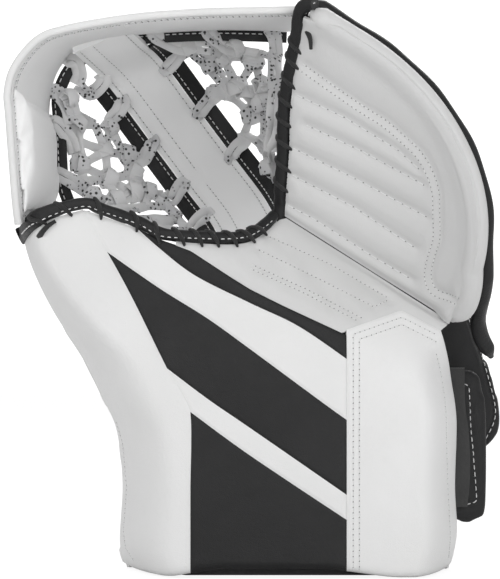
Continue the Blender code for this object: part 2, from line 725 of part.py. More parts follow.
def backhand_pad():
    """Protects the back of the hand, behind the hand opening."""
    def face(x, z):
        return 72 + 0.0016 * (x - 90) ** 2

    low = smooth([(8, 128), (60, 112), (110, 96), (135, 82), (152, 78)], 8)
    high = smooth([(2, 178), (40, 196), (80, 190), (120, 168), (152, 142)], 8)
    left = sampled([low[0], high[0]], 6)
    right = smooth([low[-1], (163, 90), (163, 112), high[-1]], 6)
    back_sheet("backhand_pad", low, high, left, right, face, BACKHAND_PAD_THICK, "black_leather")


def strap(name, path, edges):
    """Strap that closes round the hand, hinged at its fixed end."""
    hinge = (*path[0], sum(edges) / 2)
    path = smooth(path, 10)
    front, back = [], []
    for k, point in enumerate(path):
        run = path[min(k + 1, len(path) - 1)] - path[max(k - 1, 0)]
        outward = Vector((-run.y, run.x, 0)).normalized()
        front.append([Vector((point.x, point.y, z)) for z in edges])
        back.append([p + outward * STRAP_THICK for p in front[-1]])
    sheet(name, front, back, "webbing", empty(name + "_axis", hinge))


def upright(name, path, low, high, thick, kind):
    """Soft wall that stands on a path of (x, y), between two heights."""
    path = smooth(path, 4)
    front, back = [], []
    for k, point in enumerate(path):
        run = path[min(k + 1, 4)] - path[max(k - 1, 0)]
        outward = Vector((-run.y, run.x, 0)).normalized() * thick
        front.append([Vector((point.x, point.y, low + (high - low) * i / 3)) for i in range(4)])
        back.append([p + outward for p in front[-1]])
    sheet(name, front, back, kind)


def gussets():
    """Soft walls between the cuff, the pads and the straps."""
    front, back = [], []
    for k in range(9):
        z = 62 + 102 * k / 8
        start = -8 + 40 * blend((z - 106) / 20)
        path = [(-36, start), (-39, 0.5 * start + 25), (-36, 45), (-34, 52), (-33, 58)]
        row = [Vector((x, y, z)) for x, y in smooth(path, 6)]
        front.append(row)
        back.append([p + Vector((-2.2, 0.6, 0)) for p in row])
    sheet("thumb_side_gusset", front, back, "lining")
    upright("strap_anchor", [(-79, 40), (-79, 45.5), (-76, 50.6)], 38, 76, 2.4, "webbing")
    upright("heel_gusset", [(125, 41), (124, 44), (124, 48)], 42, 122, 2.4, "lining")
    upright("pad_hinge", [(112, 64), (116, 67), (116, 70.5)], 100, 124, 3.0, "lining")


def main():
    for obj in list(bpy.data.objects):
        bpy.data.objects.remove(obj, do_unlink=True)
    axis = (BREAK_TOP[0], 0.0, BREAK_TOP[1])
    pocket_axis = empty("pocket_fold_axis", axis)
    finger_axis = empty("finger_fold_axis", axis)
    finger_axis.parent = pocket_axis
    finger_axis.matrix_parent_inverse = pocket_axis.matrix_world.inverted()
    bpy.context.view_layer.update()

    cuff_panels()
    upper_palm()
    right_panel()
    cuff_core()
    lip_binding()
    rim_wall("thumb_rim", lambda p, n: run_before(p, THUMB_CUT - 0.5, n), 14)
    thumb_pad()
    thumb_strip()
    channel("thumb_sleeve", *THUMB_SLEEVE, THUMB_SLEEVE_HALF, THUMB_SLEEVE_DEPTHS, cuff_depth)
    pocket(pocket_axis)
    finger_side(finger_axis)
    finger_sleeves(finger_axis)
    wrist_pad()
    backhand_pad()
    strap("wrist_strap", WRIST_STRAP, WRIST_STRAP_EDGES)
    strap("backhand_strap", BACKHAND_STRAP, BACKHAND_STRAP_EDGES)
    gussets()


main()
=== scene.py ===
"""Looks of the goalie catch glove, built round its frame. Lengths are in millimetres until a mesh is made."""

import json
import math
import random

import bmesh
import bpy
import numpy as np
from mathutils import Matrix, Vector, noise


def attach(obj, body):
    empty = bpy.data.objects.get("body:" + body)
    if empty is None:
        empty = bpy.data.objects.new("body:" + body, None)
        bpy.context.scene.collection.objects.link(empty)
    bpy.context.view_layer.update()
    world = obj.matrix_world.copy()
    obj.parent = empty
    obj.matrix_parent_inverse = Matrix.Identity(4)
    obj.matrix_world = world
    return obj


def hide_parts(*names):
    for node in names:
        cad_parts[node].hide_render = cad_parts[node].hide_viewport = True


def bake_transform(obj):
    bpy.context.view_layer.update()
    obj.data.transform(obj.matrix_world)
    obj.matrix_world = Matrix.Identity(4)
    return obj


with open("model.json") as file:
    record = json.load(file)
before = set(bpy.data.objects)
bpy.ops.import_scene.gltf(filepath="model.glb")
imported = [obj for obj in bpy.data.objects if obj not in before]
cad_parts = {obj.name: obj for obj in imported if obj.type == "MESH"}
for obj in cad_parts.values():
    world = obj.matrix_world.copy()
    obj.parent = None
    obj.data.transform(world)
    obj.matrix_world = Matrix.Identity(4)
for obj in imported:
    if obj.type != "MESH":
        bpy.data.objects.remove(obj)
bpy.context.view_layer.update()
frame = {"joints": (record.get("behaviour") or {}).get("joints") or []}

MM = 0.001
random.seed(7)

# ---- The frame's own measures ----

# Where the break meets the pocket, from the fold joint's axis
JOINT = next(j for j in frame["joints"] if j["name"] == "pocket_fold")
AXIS_AT = [c / MM for c in JOINT["pos_m"]]
AXIS_RUN = JOINT["axis"]
BREAK_TOP = (AXIS_AT[0], AXIS_AT[2])
SHIFT_Y = AXIS_AT[1]
ALONG = (AXIS_RUN[0], AXIS_RUN[2])
ACROSS = (-ALONG[1], ALONG[0])

# The rest repeats part.py's driving dimensions, with Y measured from the break
CUFF_FRONT = 30.0
VALLEY_REACH = 55.0
THUMB_BULGE = 13.0
CURL_LEFT = 66.0
CURL_RIGHT = 62.0
CURL_POWER = 2.2
CUFF_LEFT = [(0.0, -80.0), (16.0, -84.2), (53.0, -82.6), (88.0, -86.4), (109.0, -95.6),
             (138.0, -109.4), (161.0, -124.6), (185.0, -136.0), (205.0, -142.5), (240.0, -145.0)]
CUFF_RIGHT = [(0.0, 128.5), (22.0, 133.0), (52.0, 131.7), (82.0, 132.7), (102.0, 133.2),
              (140.0, 127.0), (158.0, 131.5), (240.0, 131.5)]
RIM_CENTRE = -12.0
RIM_ALONG = 142.5
RIM_ACROSS = 118.5
RIM_ROLL = 7.0
WALL_HEM = 3.5
WALL_BACK = 5.0
SPINE_HALF = 19.0
STRIP_WIDTH = 11.0
FOOT_ARCH = 4.8
SPINE_THICK = 4.5
FINGER_CUT = -60.0
LIP = [(-142.5, 208.5), (-125, 221), (-103, 228), (-93, 225), (-70, 217), (-56, 210), (-37, 208),
       (-14, 207), (0, 209), (11, 216), (17.5, 222.5)]
SEAM = [(-37, 0), (-37, 52), (-37, 103), (-51.5, 130), (-73.6, 175), (-88, 202), (-103, 228)]
RIGHT_SEAM_X = 60.0
BLACK_TOP = [(-37, 103), (0, 76), (60, 36)]
WIDE_LOW = [(-51.5, 130), (-25.4, 110.4), (0, 93), (60, 51.5)]
WIDE_HIGH = [(-88, 202), (-56.4, 179.8), (-26.7, 161.2), (0, 142), (42.8, 110.4), (60, 98)]
THIN_LOW = [(-70, 217), (-56.4, 204.6), (-34, 187.5), (0, 170.5), (29.8, 156.3), (60, 135.8)]
THIN_HIGH = [(-56, 210), (-36.6, 202.8), (-16.7, 189.7), (0, 179.2), (19.8, 169.3), (60, 150.7)]
PANEL_TOP = [(60, 154), (95, 166), (120, 153)]
RIM_FRONT = [(-144.5, -40, 219), (-146, -44, 235), (-149.5, -48, 284), (-150.3, -50, 300),
             (-145.5, -52, 316), (-131.5, -54, 332.5), (-114, -55, 339.6), (-74, -57, 346.3),
             (-35, -58, 349.5), (0, -59, 350.5), (34, -60, 351)]
RIM_BACK = [(-128, 40, 229.5), (-130.6, 45, 237), (-134.5, 48, 270), (-135, 50, 298),
            (-131, 51, 319), (-120, 52, 335), (-105, 53, 343), (-76, 53, 349), (-30, 53, 352),
            (0, 52, 352), (34, 50, 351)]
SPINE = [(-86, 44, 330), (-74, 72, 319), (-49, 93, 286), (-26, 87, 255), (-9, 62, 232),
         (0, 34, 215)]
SPINE_TURN = [(0, 0.35), (0.3, 0.6), (0.6, 0.62), (1, 0.42)]
WEB_LEFT = [(-113, 47, 316), (-116, 45, 298), (-118, 42, 270), (-113, 30, 245), (-90, 8, 225),
            (-55, 2, 213), (-32, 12, 206)]
WEB_RIGHT = [(-45, 50, 335), (-12, 50, 336), (14, 44, 333), (17, 12, 306), (14, 6, 280),
             (12, 12, 256), (11, 24, 236)]

# Camera distance from the plane of the cuff's front, its height, and the width it sees there
CAMERA_DISTANCE = 1700.0
CAMERA_HEIGHT = 178.9
VIEW_WIDTH = 310.0


def ease(value):
    """Smooth step from 0 to 1."""
    value = np.clip(value, 0.0, 1.0)
    return value * value * (3 - 2 * value)


def hermite(table, at):
    """Value of a smooth curve through a table of (place, value)."""
    if at <= table[0][0]:
        return table[0][1]
    for i in range(len(table) - 1):
        (p0, v0), (p1, v1) = table[i], table[i + 1]
        if at <= p1:
            before = table[max(0, i - 1)]
            after = table[min(len(table) - 1, i + 2)]
            slope0 = (v1 - before[1]) / (p1 - before[0])
            slope1 = (after[1] - v0) / (after[0] - p0)
            t = (at - p0) / (p1 - p0)
            step = p1 - p0
            return ((2 * t**3 - 3 * t**2 + 1) * v0 + (t**3 - 2 * t**2 + t) * slope0 * step
                    + (3 * t**2 - 2 * t**3) * v1 + (t**3 - t**2) * slope1 * step)
    return table[-1][1]


HEIGHTS = np.linspace(-10, 250, 400)
LEFT_AT = np.array([hermite(CUFF_LEFT, z) for z in HEIGHTS])
RIGHT_AT = np.array([hermite(CUFF_RIGHT, z) for z in HEIGHTS])


def to_break(x, z):
    """Distances along the break, from where it meets the pocket, and across it towards the fingers."""
    dx, dz = x - BREAK_TOP[0], z - BREAK_TOP[1]
    return dx * ALONG[0] + dz * ALONG[1], dx * ACROSS[0] + dz * ACROSS[1]


def from_break(along, across):
    return (BREAK_TOP[0] + along * ALONG[0] + across * ACROSS[0],
            BREAK_TOP[1] + along * ALONG[1] + across * ACROSS[1])


def cuff_depth(x, z):
    """Y of the cuff's face: it falls from the break, bulges at the thumb and curls back at both sides."""
    _, across = to_break(x, z)
    fall = np.clip(-across / VALLEY_REACH, 0, 1)
    y = -CUFF_FRONT * np.sin(math.pi / 2 * fall)
    y = y - THUMB_BULGE * ease((-60 - x) / 40) * ease((z - 150) / 70)
    reach = 40 - 24 * ease((z - 120) / 90)
    left = np.clip((np.interp(z, HEIGHTS, LEFT_AT) + reach - x) / reach, 0, 1)
    right = np.clip((x - np.interp(z, HEIGHTS, RIGHT_AT) + 28) / 28, 0, 1)
    y = y + CURL_LEFT * (1 - 0.35 * ease((z - 150) / 60)) * left ** CURL_POWER
    return y + CURL_RIGHT * ease((158 - z) / 45) * right ** CURL_POWER


def rim_reach(along, inset=0.0):
    """How far across the break the finger side's elliptical rim lies."""
    swing = np.maximum(0.0, along - RIM_CENTRE) / (RIM_ALONG - inset)
    return (RIM_ACROSS - inset) * np.sqrt(np.maximum(0.0, 1 - swing * swing))


def finger_depth(x, z):
    """Y of the finger side's face, which rises forwards from the break, more steeply at its heel end."""
    along, across = to_break(x, z)
    steep = 0.66 + 0.82 * (np.maximum(0.0, along + 47) / 180) ** 4
    share = np.clip(np.maximum(0.0, across) / np.maximum(12.0, rim_reach(along)), 0, 1.2)
    return -steep * across * (0.72 + 0.28 * share)


def point_behind(surface, grid, depth):
    """Points at a depth behind a surface, square to it, for a line or a grid of (x, z)."""
    step = 1.5
    x, z = grid[..., 0], grid[..., 1]
    slope_x = (surface(x + step, z) - surface(x - step, z)) / (2 * step)
    slope_z = (surface(x, z + step) - surface(x, z - step)) / (2 * step)
    slope_z = slope_z * ease(z / 40 - 0.1)
    long = np.sqrt(slope_x**2 + slope_z**2 + 1)
    y = surface(x, z)
    return np.stack([x - slope_x / long * depth, y + depth / long, z - slope_z / long * depth], -1)


# How far both leathers sink into the crease along the break, and how far each stops short of it
BREAK_DIP = 1.7
BREAK_GAP = -0.35


# ---- Curves ----

def unit(rows):
    """The rows scaled to a length of 1."""
    return rows / np.maximum(np.linalg.norm(rows, axis=-1, keepdims=True), 1e-9)


def length_of(line):
    return np.linalg.norm(np.diff(np.asarray(line, float), axis=0), axis=1).sum()


def distances(line):
    """How far along a line each of its points lies."""
    return np.concatenate([[0], np.cumsum(np.linalg.norm(np.diff(line, axis=0), axis=1))])


def read_at(want, at, rows):
    """Rows given at some places along a line, read at others."""
    return np.stack([np.interp(want, at, rows[:, k]) for k in range(rows.shape[1])], -1)


def evenly(points, count):
    points = np.asarray(points, float)
    at = distances(points)
    return read_at(np.linspace(0, at[-1], count + 1), at, points)


def raised(grid, y):
    """Points with some y over a line or a grid of (x, z)."""
    return np.stack([grid[..., 0], y, grid[..., 1]], -1)


def smooth(points, count):
    """Evenly spaced points of the Catmull-Rom curve through some points."""
    points = np.asarray(points, float)
    fine = []
    last = len(points) - 1
    for i in range(last):
        p0, p1, p2, p3 = points[max(0, i - 1)], points[i], points[i + 1], points[min(last, i + 2)]
        for t in np.arange(0, 1, 0.1):
            fine.append(0.5 * (2 * p1 + (p2 - p0) * t + (2 * p0 - 5 * p1 + 4 * p2 - p3) * t * t
                               + (3 * p1 - p0 - 3 * p2 + p3) * t**3))
    fine.append(points[-1])
    return evenly(fine, count)


def spread(length, step):
    """Shares from 0 to 1 that lie close together near both ends of a length."""
    edges = (0.6, 1.3, 2.4, 4.0)
    inner = np.arange(edges[-1] + step, length - edges[-1] - step * 0.5, step)
    ends = [e for e in edges if e < length / 2 - 0.2]
    return np.array([0.0] + ends + list(inner) + [length - e for e in reversed(ends)] + [length]) / length


def patch(low, high, left, right, step=2.4):
    """Array of (x, z) between four edges, denser near them."""
    edges = [np.asarray(e, float) for e in (low, high, left, right)]
    us = spread(max(length_of(edges[0]), length_of(edges[1])), step)
    vs = spread(max(length_of(edges[2]), length_of(edges[3])), step)
    low, high, left, right = (read_at(shares, np.linspace(0, 1, len(edge)), edge)
                              for edge, shares in zip(edges, (us, us, vs, vs)))
    u = us[None, :, None]
    v = vs[:, None, None]
    corners = ((1 - u) * (1 - v) * low[0] + u * (1 - v) * low[-1]
               + (1 - u) * v * high[0] + u * v * high[-1])
    return (1 - v) * low[None] + v * high[None] + (1 - u) * left[:, None] + u * right[:, None] - corners


def away_from(grid, lines):
    """Distance of each grid point to the nearest of some polylines, all in (x, z)."""
    flat = grid.reshape(-1, 2)
    best = np.full(len(flat), 1e9)
    for line in lines:
        line = np.asarray(line, float)
        for a, b in zip(line[:-1], line[1:]):
            run = b - a
            t = np.clip(((flat - a) @ run) / max(run @ run, 1e-9), 0, 1)
            best = np.minimum(best, np.linalg.norm(flat - a - t[:, None] * run, axis=1))
    return best.reshape(grid.shape[:-1])


def border(grid):
    return [np.concatenate([grid[0], grid[1:, -1], grid[-1, -2::-1], grid[-2::-1, 0]])]


def sideways(line):
    """Directions square to a flat line, to its left as it runs."""
    run = unit(np.gradient(line, axis=0))
    return np.stack([-run[:, 1], run[:, 0]], -1)


def shifted(line, distance):
    """The line moved sideways, to its left as it runs."""
    line = np.asarray(line, float)
    return line + sideways(line) * np.reshape(distance, (-1, 1))


def folds(count, pitch, across, layer):
    """Smooth random heights from -1 to 1 at the steps of a line."""
    return np.array([noise.noise(Vector((k * pitch, across, layer))) for k in range(count)])


def waves(grid, pitch, layer):
    """Smooth random heights from -1 to 1 over a grid of (x, z)."""
    heights = [noise.noise(Vector((x * pitch, z * pitch, layer))) for x, z in grid.reshape(-1, 2)]
    return np.array(heights).reshape(grid.shape[:-1])


# ---- Materials ----

class Shader:
    """A Principled material and the nodes that vary it, in the object's own coordinates."""

    def __init__(self, name, colour, roughness, slot):
        self.material = bpy.data.materials.new(name)
        self.material.use_nodes = True
        self.tree = self.material.node_tree
        self.main = self.tree.nodes["Principled BSDF"]
        self.main.inputs["Base Color"].default_value = (*colour, 1)
        self.main.inputs["Roughness"].default_value = roughness
        self.colour = colour
        self.place = self.tree.nodes.new("ShaderNodeTexCoord").outputs["Object"]
        self.material["slot"] = slot

    def node(self, kind, **values):
        made = self.tree.nodes.new(kind)
        for key, value in values.items():
            if key in made.inputs:
                made.inputs[key].default_value = value
            else:
                setattr(made, key, value)
        return made

    def link(self, a, b):
        self.tree.links.new(a, b)

    def texture(self, kind, scale, **values):
        made = self.node(kind, **values)
        made.inputs["Scale"].default_value = scale
        self.link(self.place, made.inputs["Vector"])
        return made

    def ramp(self, source, low, high, from_value, to_value):
        made = self.node("ShaderNodeMapRange")
        values = {"From Min": low, "From Max": high, "To Min": from_value, "To Max": to_value}
        for key, value in values.items():
            made.inputs[key].default_value = value
        self.link(source, made.inputs["Value"])
        return made.outputs["Result"]

    def mix(self, share, first, second):
        made = self.node("ShaderNodeMix", data_type="RGBA")
        for k, value in ((6, first), (7, second)):
            if isinstance(value, tuple):
                made.inputs[k].default_value = (*value, 1)
            else:
                self.link(value, made.inputs[k])
        self.link(share, made.inputs[0])
        return made.outputs[2]

    def bump(self, height, strength, distance, below=None):
        made = self.node("ShaderNodeBump", Strength=strength, Distance=distance)
        self.link(height, made.inputs["Height"])
        if below:
            self.link(below, made.inputs["Normal"])
        return made.outputs["Normal"]

    def done(self, colour=None, roughness=None, normal=None):
        if colour:
            self.link(colour, self.main.inputs["Base Color"])
        if roughness:
            self.link(roughness, self.main.inputs["Roughness"])
        if normal:
            self.link(normal, self.main.inputs["Normal"])
        return self.material


def leather(name, colour, worn, roughness, slot, grain=0.25):
    s = Shader(name, colour, roughness, slot)
    cells = s.texture("ShaderNodeTexVoronoi", 1100, feature="DISTANCE_TO_EDGE")
    creases = s.texture("ShaderNodeTexNoise", 420, Detail=4.0)
    clouds = s.texture("ShaderNodeTexNoise", 14, Detail=3.0)
    scuffs = s.texture("ShaderNodeTexNoise", 65, Detail=6.0, Roughness=0.7)
    colour_out = s.mix(s.ramp(clouds.outputs["Fac"], 0.35, 0.7, 0, 0.55), colour, worn)
    colour_out = s.mix(s.ramp(scuffs.outputs["Fac"], 0.6, 0.75, 0, 0.35), colour_out, worn)
    rough = s.ramp(scuffs.outputs["Fac"], 0.3, 0.7, roughness - 0.07, roughness + 0.1)
    fine = s.bump(s.ramp(cells.outputs["Distance"], 0.0, 0.3, 0, 1), grain, 0.00022)
    normal = s.bump(creases.outputs["Fac"], grain, 0.0005, fine)
    s.main.inputs["Specular IOR Level"].default_value = 0.3
    return s.done(colour_out, rough, normal)


def woven(name, colour, other, roughness, slot, pitch=900, strength=0.5, sheen=0.3):
    s = Shader(name, colour, roughness, slot)
    one = s.texture("ShaderNodeTexWave", pitch, wave_type="BANDS", bands_direction="DIAGONAL")
    two = s.texture("ShaderNodeTexWave", pitch, wave_type="BANDS", bands_direction="X")
    fuzz = s.texture("ShaderNodeTexNoise", 600, Detail=5.0)
    clouds = s.texture("ShaderNodeTexNoise", 40, Detail=3.0)
    threads = s.node("ShaderNodeMath", operation="MULTIPLY")
    s.link(one.outputs["Fac"], threads.inputs[0])
    s.link(two.outputs["Fac"], threads.inputs[1])
    colour_out = s.mix(threads.outputs[0], colour, other)
    colour_out = s.mix(s.ramp(clouds.outputs["Fac"], 0.4, 0.7, 0, 0.4), colour_out, other)
    below = s.bump(fuzz.outputs["Fac"], 0.3, 0.0003)
    s.main.inputs["Sheen Weight"].default_value = sheen
    rough = s.ramp(fuzz.outputs["Fac"], 0.3, 0.7, roughness - 0.08, min(1.0, roughness + 0.08))
    return s.done(colour_out, rough, s.bump(threads.outputs[0], strength, 0.0003, below))


def lace_material():
    """Waxed lace: pale, with pairs of dark flecks in parts of its length."""
    s = Shader("lace", (0.62, 0.62, 0.62), 0.6, "lace")
    cells = s.texture("ShaderNodeTexVoronoi", 330, Randomness=0.7)
    zones = s.texture("ShaderNodeTexNoise", 45, Detail=1.0)
    weave = s.texture("ShaderNodeTexWave", 700, bands_direction="DIAGONAL")
    dots = s.ramp(cells.outputs["Distance"], 0.36, 0.28, 0, 1)
    where = s.ramp(zones.outputs["Fac"], 0.5, 0.52, 0, 1)
    flecks = s.node("ShaderNodeMath", operation="MULTIPLY")
    s.link(dots, flecks.inputs[0])
    s.link(where, flecks.inputs[1])
    pale = s.mix(s.ramp(zones.outputs["Fac"], 0.3, 0.7, 0, 1), (0.7, 0.7, 0.7), (0.55, 0.55, 0.56))
    colour = s.mix(flecks.outputs[0], pale, (0.03, 0.03, 0.03))
    return s.done(colour, None, s.bump(weave.outputs["Fac"], 0.35, 0.0002))


def gray(value, blue=0.0):
    return (value, value, value + blue)


WHITE = leather("white_leather", gray(0.73), gray(0.68, -0.005), 0.45, "white_leather")
# Painted shade: a darker copy of the same white leather, for the upper palm and the finger side, which catch less
# light
WHITE_PAINTED_SHADE = leather("white_leather_palm", gray(0.60), gray(0.55, -0.005), 0.45, "white_leather")
# Painted light: a paler copy of the same white leather, for the pocket's inside (rim walls, spine, thumb pad),
# which lies in shade
WHITE_PAINTED_LIGHT = leather("white_leather_inside", gray(0.88), gray(0.84), 0.5, "white_leather")
BLACK = leather("black_leather", gray(0.009, 0.0005), gray(0.016, 0.0005), 0.45, "black_leather", 0.4)
BINDING = woven("black_binding", gray(0.008), gray(0.02), 0.55, "black_binding", sheen=0.1)
LINING = woven("lining", gray(0.024, 0.0015), gray(0.042, 0.0015), 0.85, "lining", 1300, 0.3, 0.4)
WEBBING = woven("webbing", gray(0.015), gray(0.05), 0.65, "webbing", 420, 0.8)
FELT = woven("felt", gray(0.033), gray(0.055), 0.95, "felt", 1500, 0.3, 0.5)
LACE = lace_material()
THREAD_WHITE = woven("white_thread", gray(0.75), gray(0.6), 0.6, "lace", 2500, 0.2)
THREAD_PALE = woven("pale_thread", gray(0.7), gray(0.6), 0.6, "white_leather", 2500, 0.2)
# Painted shade: dark grey for the inside of each needle hole in the white leather
HOLE_SHADE = woven("needle_hole_shade", gray(0.13), gray(0.2), 0.9, "white_leather", 2500, 0.1, 0.0)
CORD_BLACK = woven("black_cord", gray(0.008), gray(0.02), 0.5, "black_binding", 1500, 0.6, 0.05)
BOARD = woven("board", gray(0.05, 0.002), gray(0.07, 0.002), 0.5, "board", 700, 0.3, 0.0)


# ---- Meshes ----

LEATHER_THICK = 3.0
EDGE_RADIUS = 5.0
BEHIND = np.array([0, 1.0, 0])

# Length, gap and radius of the stitches in each kind of seam
BINDING_STITCH = (2.8, 1.4, 0.36)
STRIP_STITCH = (2.8, 1.5, 0.36)
OUTER_STITCH = (2.6, 1.8, 0.32)
RIM_STITCH = (2.6, 1.4, 0.34)
SPINE_STITCH = (2.6, 1.5, 0.34)
TAB_STITCH = (2.0, 0.9, 0.4)
PAD_STITCH = (2.9, 1.7, 0.34)
STRAP_STITCH = (2.4, 1.2, 0.45)
QUILT_GAP = 0.9
QUILT_RADIUS = 0.3
HOLE_RADIUS = 0.45


def make(name, points, faces, material, body, nodes=()):
    """Solid with smooth faces that point out, settled on its body."""
    mesh = bpy.data.meshes.new(name)
    points = np.array(points, float).reshape(-1, 3)
    points[:, 1] += SHIFT_Y
    mesh.from_pydata((points * MM).tolist(), [], faces)
    work = bmesh.new()
    work.from_mesh(mesh)
    bmesh.ops.remove_doubles(work, verts=work.verts, dist=1e-6)
    bmesh.ops.recalc_face_normals(work, faces=work.faces)
    if work.calc_volume(signed=True) < 0:
        bmesh.ops.reverse_faces(work, faces=work.faces)
    work.to_mesh(mesh)
    work.free()
    mesh.materials.append(material)
    mesh.shade_smooth()
    mesh.set_sharp_from_angle(angle=math.radians(50))
    obj = bpy.data.objects.new(name, mesh)
    bpy.context.scene.collection.objects.link(obj)
    return settle(obj, body, nodes)


def settle(obj, body, nodes=()):
    """Puts a piece on its body, or leaves it unparented when it lies between two, and lets it stand for its CAD
    nodes.
    """
    if isinstance(body, str):
        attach(obj, body)
    else:
        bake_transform(obj)
    if nodes:
        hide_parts(*nodes)
    return obj


def closed(front, back):
    """(points, faces) of the solid between two arrays of points."""
    front, back = np.asarray(front), np.asarray(back)
    rows, columns = front.shape[:2]
    half = rows * columns
    faces = []
    for j in range(rows - 1):
        for i in range(columns - 1):
            a = j * columns + i
            faces.append((a, a + 1, a + columns + 1, a + columns))
            faces.append((half + a, half + a + columns, half + a + columns + 1, half + a + 1))
    edge = list(range(columns)) + [j * columns + columns - 1 for j in range(1, rows)]
    edge += [(rows - 1) * columns + i for i in range(columns - 2, -1, -1)]
    edge += [j * columns for j in range(rows - 2, 0, -1)]
    faces += [(a, half + a, half + b, b) for a, b in zip(edge, edge[1:] + edge[:1])]
    return np.concatenate([front.reshape(-1, 3), back.reshape(-1, 3)]), faces


def ringed(rings):
    """(points, faces) of the solid through rings of points, capped at both ends."""
    count, sides = rings.shape[:2]
    faces = []
    for k in range(count - 1):
        for s in range(sides):
            a, b = k * sides + s, k * sides + (s + 1) % sides
            faces.append((a, b, b + sides, a + sides))
    faces += [tuple(range(sides))[::-1], tuple(range((count - 1) * sides, count * sides))]
    return rings.reshape(-1, 3), faces


def tube(path, half_wide, half_deep, sides=10, ups=BEHIND, power=1.0):
    """(points, faces) of a rounded strip along a path of 3-D points. A power under 1 squares it off."""
    path = np.asarray(path, float)
    runs = unit(np.gradient(path, axis=0))
    across = unit(np.cross(np.broadcast_to(ups, path.shape), runs))
    deep = np.cross(runs, across)
    wide, thick = (np.broadcast_to(half, len(path))[:, None, None] for half in (half_wide, half_deep))
    turns = 2 * math.pi * (np.arange(sides) + 0.5) / sides
    c, d = ((np.sign(v) * np.abs(v) ** power)[:, None] for v in (np.cos(turns), np.sin(turns)))
    return ringed(path[:, None] + across[:, None] * c * wide + deep[:, None] * d * thick)


def joined(parts):
    points, faces, start = [], [], 0
    for part_points, part_faces in parts:
        points.append(part_points)
        faces += [tuple(i + start for i in face) for face in part_faces]
        start += len(part_points)
    return np.concatenate(points), faces


def rounded(distance, radius):
    """How far an edge of that radius has dropped at a distance from it."""
    inside = np.clip(distance, 0, radius)
    return radius - np.sqrt(np.maximum(0, radius**2 - (radius - inside) ** 2))


def panel(name, grid, surface, material, body, nodes=(), outline=(), seam=0.55,
          grooves=(), groove_deep=1.1, groove_wide=1.6, puff=0.0, lift=0.0, rise=0.0):
    """Leather panel: it drops at its seams, rounds over the glove's outline and sinks along its stitching."""
    to_edge = away_from(grid, border(grid))
    across = to_break(grid[..., 0], grid[..., 1])[1]
    depth = seam * np.exp(-(to_edge / 1.1) ** 2) * ease(np.abs(across) / 6)
    depth = depth + BREAK_DIP * np.exp(-(across / 2.6) ** 2) - lift - rise
    if len(outline):
        depth = depth + rounded(away_from(grid, outline), EDGE_RADIUS)
    if len(grooves):
        near = away_from(grid, grooves)
        depth = depth + groove_deep * np.exp(-(near / groove_wide) ** 2)
        depth = depth - puff * (1 - np.exp(-(np.minimum(near, to_edge) / 7.0) ** 2))
    depth = depth + 0.35 * waves(grid, 0.03, 3.0)
    front = point_behind(surface, grid, depth)
    back = point_behind(surface, grid, np.maximum(depth + 0.4, LEATHER_THICK - rise))
    return make(name, *closed(front, back), material, body, nodes)


def stitches(path, ups, length, gap, radius):
    """Parts of a row of thread stitches that lie on a path, with the outward direction at each point."""
    at = distances(path)
    ups = np.broadcast_to(ups, path.shape)
    along = np.array([0.0, 0.18, 0.5, 0.82, 1.0]) * length
    rise = np.array([-0.55, 0.2, 0.38, 0.2, -0.55])[:, None] * radius * 1.6
    half = np.array([0.6, 1, 1, 1, 0.6]) * radius
    parts = []
    for start in np.arange(gap, at[-1] - length, length + gap):
        out = read_at(start + along, at, ups)
        parts.append(tube(read_at(start + along, at, path) + out * rise, half, half * 0.8, 5, ups=out))
    return parts


def sewn(name, path, ups, stitch, material, body):
    make(name, *joined(stitches(path, ups, *stitch)), material, body)


def needle_holes(path, ups, pitch):
    """Parts of a row of small flat dents where the thread goes through."""
    at = distances(path)
    faces = [(0, 2, 4), (2, 1, 4), (1, 3, 4), (3, 0, 4), (2, 0, 5), (1, 2, 5), (3, 1, 5), (0, 3, 5)]
    places = np.arange(pitch, at[-1], pitch)
    points, outs = read_at(places, at, path), read_at(places, at, ups)
    runs = unit(read_at(places + 0.5, at, path) - points)
    sides = np.cross(outs, runs)
    corners = np.stack([runs * 1.5, -runs * 1.5, sides, -sides, outs * 0.5, -outs * 0.5], 1)
    return [(point + c * HOLE_RADIUS, faces) for point, c in zip(points, corners)]


def surface_row(line, surface, depth, count=None):
    """Points of a line of (x, z) on a surface, and the outward direction at each."""
    line = evenly(line, count or max(8, int(length_of(line) / 2.5)))
    on = point_behind(surface, line, depth)
    return on, point_behind(surface, line, depth - 1.0) - on


def on_mesh(obj, line, direction, lift=0.0):
    """Drops points of a line of (x, z) onto a mesh, looking along -Y or +Y, with the outward directions."""
    found, outs = [], []
    for x, z in line:
        start = Vector((x * MM, -0.4 * direction, z * MM))
        hit, at, normal, _ = obj.ray_cast(start, Vector((0, direction, 0)))
        if hit:
            found.append(np.array(at) / MM - BEHIND * SHIFT_Y + np.array(normal) * lift)
            outs.append(np.array(normal))
    return np.array(found), np.array(outs)


def stitch_rows(name, rows, piece, body, pitches=(3.1,)):
    """Pale thread along lines on the front of a white piece, and the needle holes between its stitches."""
    thread, holes = [], []
    for k, row in enumerate(rows):
        pitch = pitches[min(k, len(pitches) - 1)]
        points, ups = on_mesh(piece, evenly(row, max(8, int(length_of(row) / 1.5))), 1)
        thread += stitches(points, ups, pitch - QUILT_GAP, QUILT_GAP, QUILT_RADIUS)
        holes += needle_holes(points, ups, pitch)
    make(name, *joined(thread), THREAD_PALE, body)
    # The needle holes are painted shade
    make(name + "_holes", *joined(holes), HOLE_SHADE, body)


# Soft pieces that lie between two bodies: the bodies, and the points where the bend starts and ends. Nothing in
# the script bends them; such pieces are left unparented
POCKET_FOLD = ("cuff", "pocket", from_break(0, -75), from_break(0, -5))
CREASE_BELOW = ("cuff", "pocket", from_break(0, -14), from_break(0, 0))
CREASE_ABOVE = ("pocket", "fingers", from_break(0, 0), from_break(0, 14))
WEB_FOLD = ("pocket", "fingers", (-10, 3.5, -1.4), (49, -17.5, 7.1))
LOW_WEB_FOLD = ("pocket", "fingers", (13, 62, 249), (12, 14, 256))


# ---- Cuff ----

